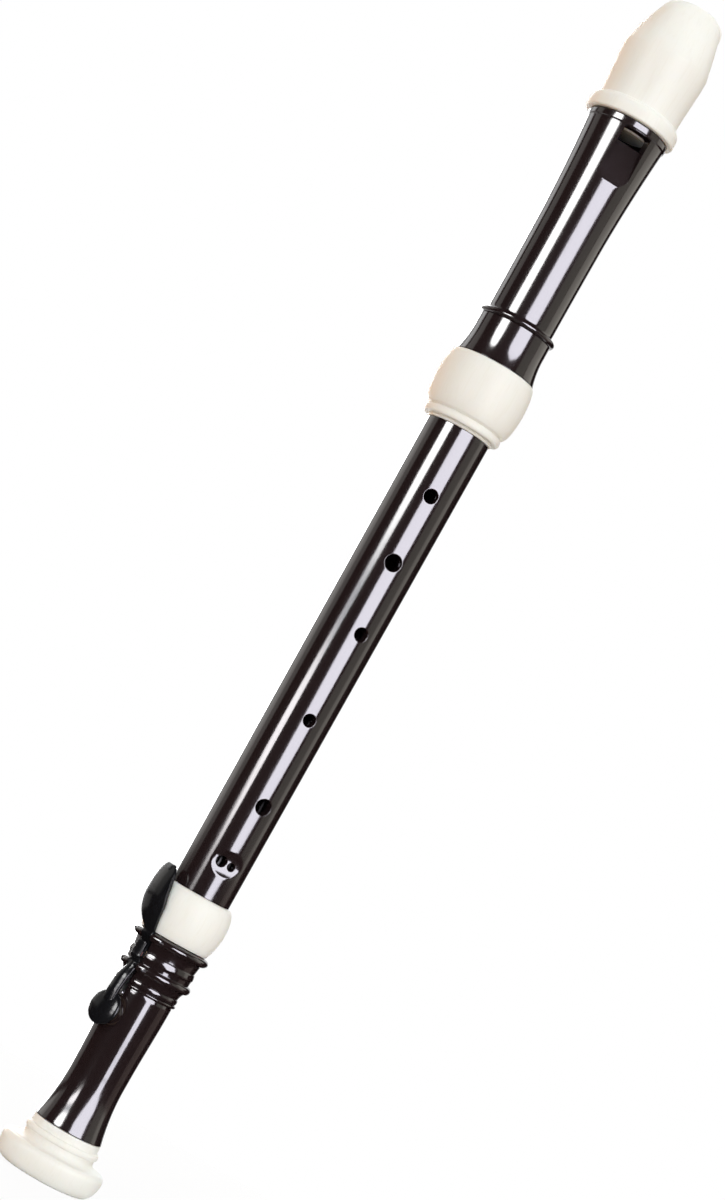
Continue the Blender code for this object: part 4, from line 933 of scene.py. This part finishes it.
def flat_slice(z, width, inner, outer):
    """Section of a straight bar in front of the axis, between two distances from it."""
    half = width / 2
    return [(half, -inner, z), (-half, -inner, z), (-half, -outer, z), (half, -outer, z)]


def crowned_slice(z, width, inner, outer, parts=12):
    """Section of a straight bar in front of the axis, rounded across its outer side."""
    half, drop = width / 2, (outer - inner) * 0.42
    return [(half, -inner, z), (-half, -inner, z),
            *((half * s, drop * s * s - outer, z) for s in steps(-1, 1, parts))]


def lug_jobs(rho, z):
    """Lug of a lever and the hole through it, both along its pin."""
    half, past = LEVER_W / 2, LEVER_W
    return [("UNION", rod("lug", (-half, -rho, z), (half, -rho, z), LUG_R)),
            ("DIFFERENCE", rod("lug_hole", (-past, -rho, z), (past, -rho, z), PIN_HOLE_R))]


def touch_inner(z):
    """Inside of the touch: it clears the foot ring when it is pressed, and curls in at its tip."""
    swing, clear, curl = math.radians(TOUCH_PRESS), 0.0004, 0.0018
    if z < FOOT_RING_WIDEST_Z:
        return radius_at(foot_ring_side(), z) + clear + swing * (z - TOUCH_PIN_Z)
    share = (z - FOOT_RING_WIDEST_Z) / (TOUCH_TIP_Z - FOOT_RING_WIDEST_Z)
    return FOOT_RING_R + clear + swing * (FOOT_RING_WIDEST_Z - TOUCH_PIN_Z) - curl * share**3


def touch_lever():
    """Black touch for the little finger, and the finger below its pin that works the cup."""
    inside = CHANNEL_RHO + GAP + CORK_T + GAP
    outside = inside + FINGER_T
    finger, lug_turn = math.degrees((LEVER_W / 2 - GAP) / outside), math.degrees(LEVER_W / 2 / TOUCH_PIN_RHO)
    low = [(LINK_Z - LINK_H / 2, -finger, finger, inside, outside),
           (LINK_Z + LINK_H * 3 / 2, -finger, finger, inside, outside),
           (TOUCH_PIN_Z - LUG_R * 3 / 2, -lug_turn, lug_turn, inside, outside + FINGER_T / 2),
           (TOUCH_PIN_Z - LUG_R / 4, -lug_turn, lug_turn, inside, (outside + FINGER_T + TOUCH_BEAD_R) / 2),
           (TOUCH_PIN_Z + LUG_R / 3, -lug_turn, lug_turn, inside + GAP, TOUCH_BEAD_R)]
    # share of the way up from the foot ring's lower end, and the angles of its two edges
    sweep = [(0.00, -9.5, 9.5), (0.10, -9.8, 19.0), (0.26, -10.5, 31.0), (0.42, -10.5, 37.0),
             (0.58, -7.0, 39.0), (0.74, -4.0, 39.5), (0.88, 0.5, 37.5), (0.96, 6.0, 33.5), (1.00, 12.0, 28.0)]
    high = []
    for share, front, back in sweep:
        z = FOOT_RING_Z + (TOUCH_TIP_Z - FOOT_RING_Z) * share
        inner = touch_inner(z)
        high.append((z, front, back, inner, inner + 0.0020 * (1 - share**8 / 3)))
    lever = lofted("touch", [ring_slice(*station) for station in through([*low, *high], 8)])
    eased(lever, 0.00045, 3)
    fitted(worked(lever, *lug_jobs(TOUCH_PIN_RHO, TOUCH_PIN_Z)), "touch_lever", "black_key",
           place=facing(KEY_ANGLE))


def opened():
    """Turn about the cup's pin that holds the cup open, in the frame of the key's side."""
    pivot = Matrix.Translation((0, -CUP_PIN_RHO, CUP_PIN_Z))
    return facing(KEY_ANGLE) @ pivot @ Matrix.Rotation(-math.radians(CUP_PRESS), 4, "X") @ pivot.inverted()


def cup_lever():
    """Black arm and cup that close the lowest tone hole. Drawn closed, and then opened."""
    def finger(z, offset=0.0):
        return CHANNEL_RHO + 4 * GAP + CORK_T + FINGER_T + FELT_T + offset + swing * (z - CUP_PIN_Z)

    cup_r, arm_w, arm_t, dome = 0.0090, 0.0068, 0.0025, 0.0018
    swing, ceiling = math.tan(math.radians(CUP_PRESS)), 0.0001 + 0.0016 + GAP
    arm_in = CHIMNEY_RHO + ceiling
    arm_low, arm_high = TONE_HOLE_Z + cup_r / 3, CUP_PIN_Z - LUG_R * 4
    bend, meet, end = LINK_Z - LINK_H, LINK_Z - LINK_H / 3, LINK_Z + LINK_H * 5 / 2
    stations = [(arm_low, arm_w, arm_in, arm_in + dome),
                (TONE_HOLE_Z + cup_r, arm_w, arm_in, arm_in + arm_t),
                ((TONE_HOLE_Z + cup_r + arm_high) / 2, arm_w, arm_in, arm_in + arm_t),
                (arm_high, arm_w, (arm_in * 3 + CUP_PIN_RHO) / 4, arm_in + arm_t),
                (CUP_PIN_Z - LUG_R * 3 / 2, LEVER_W, CUP_PIN_RHO - LUG_R / 2, CUP_PIN_RHO + arm_t),
                (CUP_PIN_Z, LEVER_W, CUP_PIN_RHO - LUG_R * 2 / 3, CUP_BEAD_R),
                (CUP_PIN_Z + LUG_R, LEVER_W, CUP_PIN_RHO - LUG_R / 2, CUP_BEAD_R),
                (bend, LEVER_W, finger(bend), finger(bend, FINGER_T)),
                (meet, LEVER_W, finger(meet), finger(meet, FINGER_T)),
                (end, LEVER_W - 0.0004, finger(end), finger(end, FINGER_T))]
    lever = eased(lofted("arm", [crowned_slice(*station) for station in through(stations, 8)]), 0.0004, 4)
    hollow, crown = cup_r - 0.0010, (0, ceiling + dome)
    outline = [*reversed(quarter((cup_r, ceiling - 0.0006), crown, False, 28)), (cup_r, 0.0007),
               (hollow, 0.0007), (hollow, ceiling), (0, ceiling)]
    cup = turned("cup", softened(outline, 0.0002, 3), 128)
    upright = Matrix.Translation((0, -CHIMNEY_RHO, TONE_HOLE_Z)) @ Matrix.Rotation(math.pi / 2, 4, "X")
    cup.data.transform(upright)
    jobs = [("UNION", cup), *lug_jobs(CUP_PIN_RHO, CUP_PIN_Z)]
    fitted(worked(lever, *jobs), "cup_lever", "black_key", place=opened())
    rim = hollow - GAP
    side = [(rim - 0.0003, 0.0001), (rim, 0.0004), (rim, 0.0014), (rim - 0.0003, 0.0017)]
    pad = turned("pad", softened(plug_outline(side), 0.0002, 3), 96)
    fitted(pad, "key_pad", "pad_leather", place=opened() @ upright)


def key_spring():
    """Leaf spring under the cup's arm, with the screw that holds it to the foot."""
    head_r, leaf_t, width = 0.0013, 0.0003, 0.0030
    bed, flat_top = SPRING_FLOOR_RHO + GAP, SCREW_Z + head_r + GAP
    tip_z, tip_out = CUP_PIN_Z - LUG_R * 2, CUP_PIN_RHO - LUG_R / 2 - GAP * 2
    stations = [(SCREW_Z - head_r, width, bed, bed + leaf_t), (flat_top, width, bed, bed + leaf_t),
                ((flat_top * 2 + tip_z) / 3, width, bed + leaf_t, bed + leaf_t * 2),
                (tip_z, width * 3 / 4, tip_out - leaf_t, tip_out)]
    leaf = lofted("leaf", [flat_slice(*station) for station in through(stations, 8)])
    eased(leaf, 0.00006, 2)
    hole = rod("spring_hole", (0, 0, SCREW_Z), (0, -CUP_BEAD_R, SCREW_Z), SCREW_HOLE_R)
    fitted(worked(leaf, ("DIFFERENCE", hole)), "key_spring", "steel", place=facing(KEY_ANGLE))
    head = bed + leaf_t + GAP
    side = [(0.0007, SPRING_FLOOR_RHO - 0.0021), (0.0007, head), (head_r, head), (head_r, head + 0.0004),
            *quarter((head_r, head + 0.0004), (head_r - 0.0004, head + 0.0008), False, 6)[1:]]
    screw = turned("screw", softened(plug_outline(side), 0.0002, 3), 64)
    slot = bar("screw_slot", (-0.0033, -0.0002, head + 0.0004), (0.0033, 0.0002, head + 0.002))
    place = facing(KEY_ANGLE) @ Matrix.Translation((0, 0, SCREW_Z)) @ Matrix.Rotation(math.pi / 2, 4, "X")
    fitted(worked(screw, ("DIFFERENCE", slot)), "spring_screw", "steel", place=place)


def pins():
    """Steel pins that the two levers turn on, with rounded ends."""
    for node, z, rho, bead_r in (("touch_pin", TOUCH_PIN_Z, TOUCH_PIN_RHO, TOUCH_BEAD_R),
                                 ("cup_pin", CUP_PIN_Z, CUP_PIN_RHO, CUP_BEAD_R)):
        half = math.sqrt(bead_r**2 - rho**2) - 0.0009
        pin = eased(rod(node, (-half, -rho, z), (half, -rho, z), PIN_R), 0.0002, 3)
        fitted(pin, node, "steel", place=facing(KEY_ANGLE))


def cushions():
    """Cork that the touch rests on, and felt between the two levers."""
    bed, half = CHANNEL_RHO + GAP, LEVER_W / 2 - 0.0004
    cork = bar("cork", (-half, -bed - CORK_T, LINK_Z - LINK_H / 2), (half, -bed, LINK_Z + LINK_H))
    fitted(eased(cork, 0.0001, 2), "stop_cork", "cork", place=facing(KEY_ANGLE))
    face = bed + CORK_T + GAP + FINGER_T + GAP
    felt = bar("felt", (-half, -face - FELT_T, LINK_Z - LINK_H / 2), (half, -face, LINK_Z + LINK_H / 2))
    fitted(eased(felt, 0.00018, 3), "link_felt", "felt", place=facing(KEY_ANGLE))


# ---------------------------------------------------------------- studio
CAMERA_AZIMUTH = -16.0
CAMERA_DISTANCE = 1.475
CAMERA_Z = 0.191
CAMERA_ROLL = 29.233            # the recorder leans this far in the picture
AIM_SIDE, AIM_Z = 0.0008, 0.3148    # of the picture's middle: beside the axis, and up
TILT_SHARE = 0.10               # of the look upwards. The rest is lens shift, which keeps the joints' lengths
LENS = 92.6


def camera():
    """Camera at the photograph's viewing angle, turned so that the recorder leans."""
    turn, lean = math.radians(CAMERA_AZIMUTH), math.radians(CAMERA_ROLL)
    out = Vector((math.sin(turn), -math.cos(turn), 0))
    right = Vector((math.cos(turn), math.sin(turn), 0))
    place = out * CAMERA_DISTANCE + Vector((0, 0, CAMERA_Z)) - right * AIM_SIDE
    rise = (AIM_Z - CAMERA_Z) / CAMERA_DISTANCE
    look = (Vector((0, 0, rise * TILT_SHARE)) - out).normalized()
    up = right.cross(look)
    tilted_right = right * math.cos(lean) + up * math.sin(lean)
    tilted_up = up * math.cos(lean) - right * math.sin(lean)
    axes = Matrix((tilted_right, tilted_up, -look)).transposed().to_4x4()
    data = bpy.data.cameras.new("camera")
    data.lens, data.sensor_width, data.sensor_fit = LENS, 36.0, "AUTO"
    shift = rise * (1 - TILT_SHARE) * LENS / data.sensor_width
    data.shift_x, data.shift_y = shift * math.sin(lean), shift * math.cos(lean)
    data.clip_start, data.clip_end = 0.05, 50
    made = new_object("camera", data)
    made.matrix_world = Matrix.Translation(place) @ axes
    bpy.context.scene.camera = made


def seen(tree):
    """1 for rays from the camera, off gloss or through glass, and 0 for the rest."""
    rays = add_node(tree, "ShaderNodeLightPath", {}, {}).outputs
    both = add_node(tree, "ShaderNodeMath", {"operation": "ADD"},
                    {0: rays["Is Camera Ray"], 1: rays["Is Glossy Ray"]})
    return add_node(tree, "ShaderNodeMath", {"operation": "ADD", "use_clamp": True},
                    {0: both.outputs[0], 1: rays["Is Transmission Ray"]}).outputs[0]


def white_world():
    """White backdrop for what sees it, and a dim warm fill for the rest."""
    world = bpy.data.worlds.new("studio")
    world.use_nodes = True
    bpy.context.scene.world = world
    tree = world.node_tree
    tree.nodes.clear()
    fill = add_node(tree, "ShaderNodeBackground", {}, {"Color": (1.0, 0.64, 0.34, 1), "Strength": 0.33})
    white = add_node(tree, "ShaderNodeBackground", {}, {"Color": (1, 1, 1, 1), "Strength": 1.0})
    mixed = add_node(tree, "ShaderNodeMixShader", {},
                     {0: seen(tree), 1: fill.outputs[0], 2: white.outputs[0]})
    add_node(tree, "ShaderNodeOutputWorld", {}, {"Surface": mixed.outputs[0]})


FLOOR_R, FLOOR_Z = 0.45, -0.0002
FLOOR_GLOW = 0.90               # share of plain white in the floor. The rest shows the lamps and the shadow


def bare_material(name):
    """Material without nodes, and its tree."""
    made = bpy.data.materials.new(name)
    made.use_nodes = True
    made.node_tree.nodes.clear()
    return made, made.node_tree


def floor():
    """Pale round table top, which keeps the recorder's soft shadow."""
    shape = bmesh.new()
    bmesh.ops.create_circle(shape, cap_ends=True, segments=96, radius=FLOOR_R)
    table, tree = bare_material("pale_table")
    card = add_node(tree, "ShaderNodeBsdfDiffuse", {}, {"Color": (0.90, 0.90, 0.90, 1)})
    glow = add_node(tree, "ShaderNodeEmission", {}, {"Color": (1, 1, 1, 1), "Strength": 1.0})
    share = add_node(tree, "ShaderNodeMath", {"operation": "MULTIPLY"}, {0: seen(tree), 1: FLOOR_GLOW})
    mixed = add_node(tree, "ShaderNodeMixShader", {},
                     {0: share.outputs[0], 1: card.outputs[0], 2: glow.outputs[0]})
    add_node(tree, "ShaderNodeOutputMaterial", {}, {"Surface": mixed.outputs[0]})
    made = made_of("floor", shape)
    made.data.materials.append(table)
    made.location.z = FLOOR_Z


TENT_R, TENT_LOW, TENT_TOP = 2.6, -1.6, 3.0
PANEL_R = TENT_R - 0.05
# Softboxes and pale cards that only the gloss shows: colour, brightness, and edges going up as
# (height, left, right), in degrees from the camera's direction towards its right
PANELS = {
    "left_softbox": ((1.0, 1.0, 1.0), 24,
                     [(0.58, -45, -30), (0.66, -52, -28), (0.80, -53, -27), (1.00, -51, -26),
                      (1.55, -50, -28), (1.75, -47, -29), (1.88, -41, -33)]),
    "left_blue_edge": ((0.80, 0.88, 1.0), 3.6, [(0.42, -47, -31), (0.60, -49, -30)]),
    "left_strip": ((1.0, 0.96, 0.98), 20,
                   [(0.15, -40, -31), (0.20, -43, -30), (0.26, -50, -30), (0.36, -52, -30),
                    (0.40, -50, -32), (0.44, -45, -34)]),
    "left_low_strip": ((1.0, 1.0, 0.98), 2.6, [(0.02, -44, -29), (0.15, -42, -31)]),
    "right_softbox": ((0.92, 0.90, 1.0), 15.2,
                      [(-0.60, 22, 38), (0.02, 22, 40), (0.10, 19, 47), (0.30, 15, 53), (0.50, 9, 50),
                       (0.75, 5, 50), (1.00, 9, 50), (1.50, 9, 50), (1.85, 14, 44), (2.10, 26, 32)]),
    "left_card": ((1.0, 0.985, 0.94), 0.68, [(0.12, -108, -88), (0.86, -108, -88), (2.9, -118, -88)]),
    "left_edge_card": ((1.0, 0.985, 0.95), 1.3, [(0.12, -136, -108), (0.86, -136, -108)]),
    "left_high_rim": ((1.0, 1.0, 1.0), 2.0, [(0.86, -136, -118), (2.9, -136, -118)]),
    "left_low_card": ((1.0, 0.98, 0.95), 0.55, [(-1.2, -136, -108), (-0.02, -136, -108)]),
    "right_card": ((0.97, 1.0, 0.88), 0.6, [(0.12, 62, 92), (2.9, 62, 92)]),
    "right_edge_card": ((1.0, 0.97, 0.88), 1.25,
                        [(0.12, 92, 109), (0.80, 92, 111), (0.95, 94, 134), (2.9, 94, 134)]),
    "right_low_card": ((1.0, 0.80, 0.72), 0.34, [(-1.2, 84, 116), (0.12, 84, 116)]),
    "back_softbox": ((1.0, 1.0, 1.0), 9, [(-0.5, -174, -152), (1.8, -174, -152)]),
}


def round_row(radius, z, start, stop, columns):
    """Points at one height round the recorder, between two angles from the camera's direction."""
    turns = [math.radians(a + CAMERA_AZIMUTH) for a in steps(start, stop, columns)]
    return [(radius * math.sin(t), -radius * math.cos(t), z) for t in turns]


def gloss_card(name, rows, colour=(1, 1, 1), level=0.0):
    """Card of a plain brightness that only the gloss shows, black unless it is given a level."""
    shape = bmesh.new()
    made = [[shape.verts.new(point) for point in row] for row in rows]
    for low, high in zip(made, made[1:]):
        for i in range(len(low) - 1):
            shape.faces.new((low[i + 1], low[i], high[i], high[i + 1]))
    card = made_of(name, shape)
    glow, tree = bare_material(name)
    light = add_node(tree, "ShaderNodeEmission", {}, {"Color": (*colour, 1), "Strength": level})
    add_node(tree, "ShaderNodeOutputMaterial", {}, {"Surface": light.outputs[0]})
    card.data.materials.append(glow)
    card.visible_camera = card.visible_diffuse = card.visible_shadow = False
    card.visible_transmission = card.visible_volume_scatter = False


def gloss_disc(name, radius, z):
    """Black disc round the bore's axis that only the gloss shows."""
    rim = round_row(radius, z, -180, 180, 90)
    gloss_card(name, [rim, [(0, 0, z)] * len(rim)])


def light_tent():
    """Dark wall and ceiling round the recorder, the panels a little inside the wall, and a dark
    flag just over the floor."""
    gloss_card("tent_wall", [round_row(TENT_R, z, -138, 158, 74) for z in (TENT_LOW, TENT_TOP)])
    gloss_disc("tent_ceiling", TENT_R, TENT_TOP)
    for name, (colour, level, edges) in PANELS.items():
        gloss_card(name, [round_row(PANEL_R, z, start, stop, 16) for z, start, stop in edges], colour, level)
    gloss_disc("table_flag", FLOOR_R, FLOOR_Z / 2)


COOL = (0.80, 0.91, 1.0)
# Area lights: angle from the camera's direction towards its right, elevation, distance, size,
# energy and colour
LAMPS = {
    "key_light": (8, 34, 1.6, (1.3, 1.5), 10.7, COOL),
    "left_fill": (-14, 10, 1.6, (0.9, 1.5), 11.6, COOL),
    "right_fill": (82, 10, 1.6, (0.9, 1.5), 10.0, COOL),
    "warm_light": (-126, 4, 1.4, (0.5, 1.6), 6, (1.0, 0.48, 0.20)),
    "top_light": (0, 84, 1.6, (1.2, 1.2), 8, (0.6, 0.85, 1.0)),
    "back_light": (178, 24, 1.6, (1.2, 1.5), 20, (0.74, 0.89, 1.0)),
}
LAMPS_AIM = (0, 0, 0.32)


def soft_lights():
    """Area lights that shape the pale plastic, and show in no gloss."""
    for name, (azimuth, elevation, distance, size, energy, colour) in LAMPS.items():
        turn, lift = math.radians(azimuth + CAMERA_AZIMUTH), math.radians(elevation)
        out = Vector((math.sin(turn) * math.cos(lift), -math.cos(turn) * math.cos(lift), math.sin(lift)))
        data = bpy.data.lights.new(name, "AREA")
        data.shape, data.size, data.size_y = "RECTANGLE", *size
        data.energy, data.color = energy, colour
        made = new_object(name, data)
        made.location = Vector(LAMPS_AIM) + out * distance
        made.rotation_euler = (-out).to_track_quat("-Z", "Y").to_euler()
        made.visible_glossy = False


LATHE = lathe_tree()
FINISHES = {"dark_plastic": moulded_dark(), "ivory_plastic": moulded_ivory(), "black_key": black_key(),
            "steel": spring_steel(), "seal_rubber": greased_rubber(), "pad_leather": pad_skin(),
            "cork": sheet_cork(), "felt": red_felt()}

bell_ring()
foot_joint()
foot_ring()
seals()
middle_joint()
head_ring()
head_joint()
beak_cap()
windway_block()
touch_lever()
cup_lever()
key_spring()
pins()
cushions()

camera()
white_world()
floor()
light_tent()
soft_lights()
bpy.context.scene.view_settings.view_transform = "Standard"
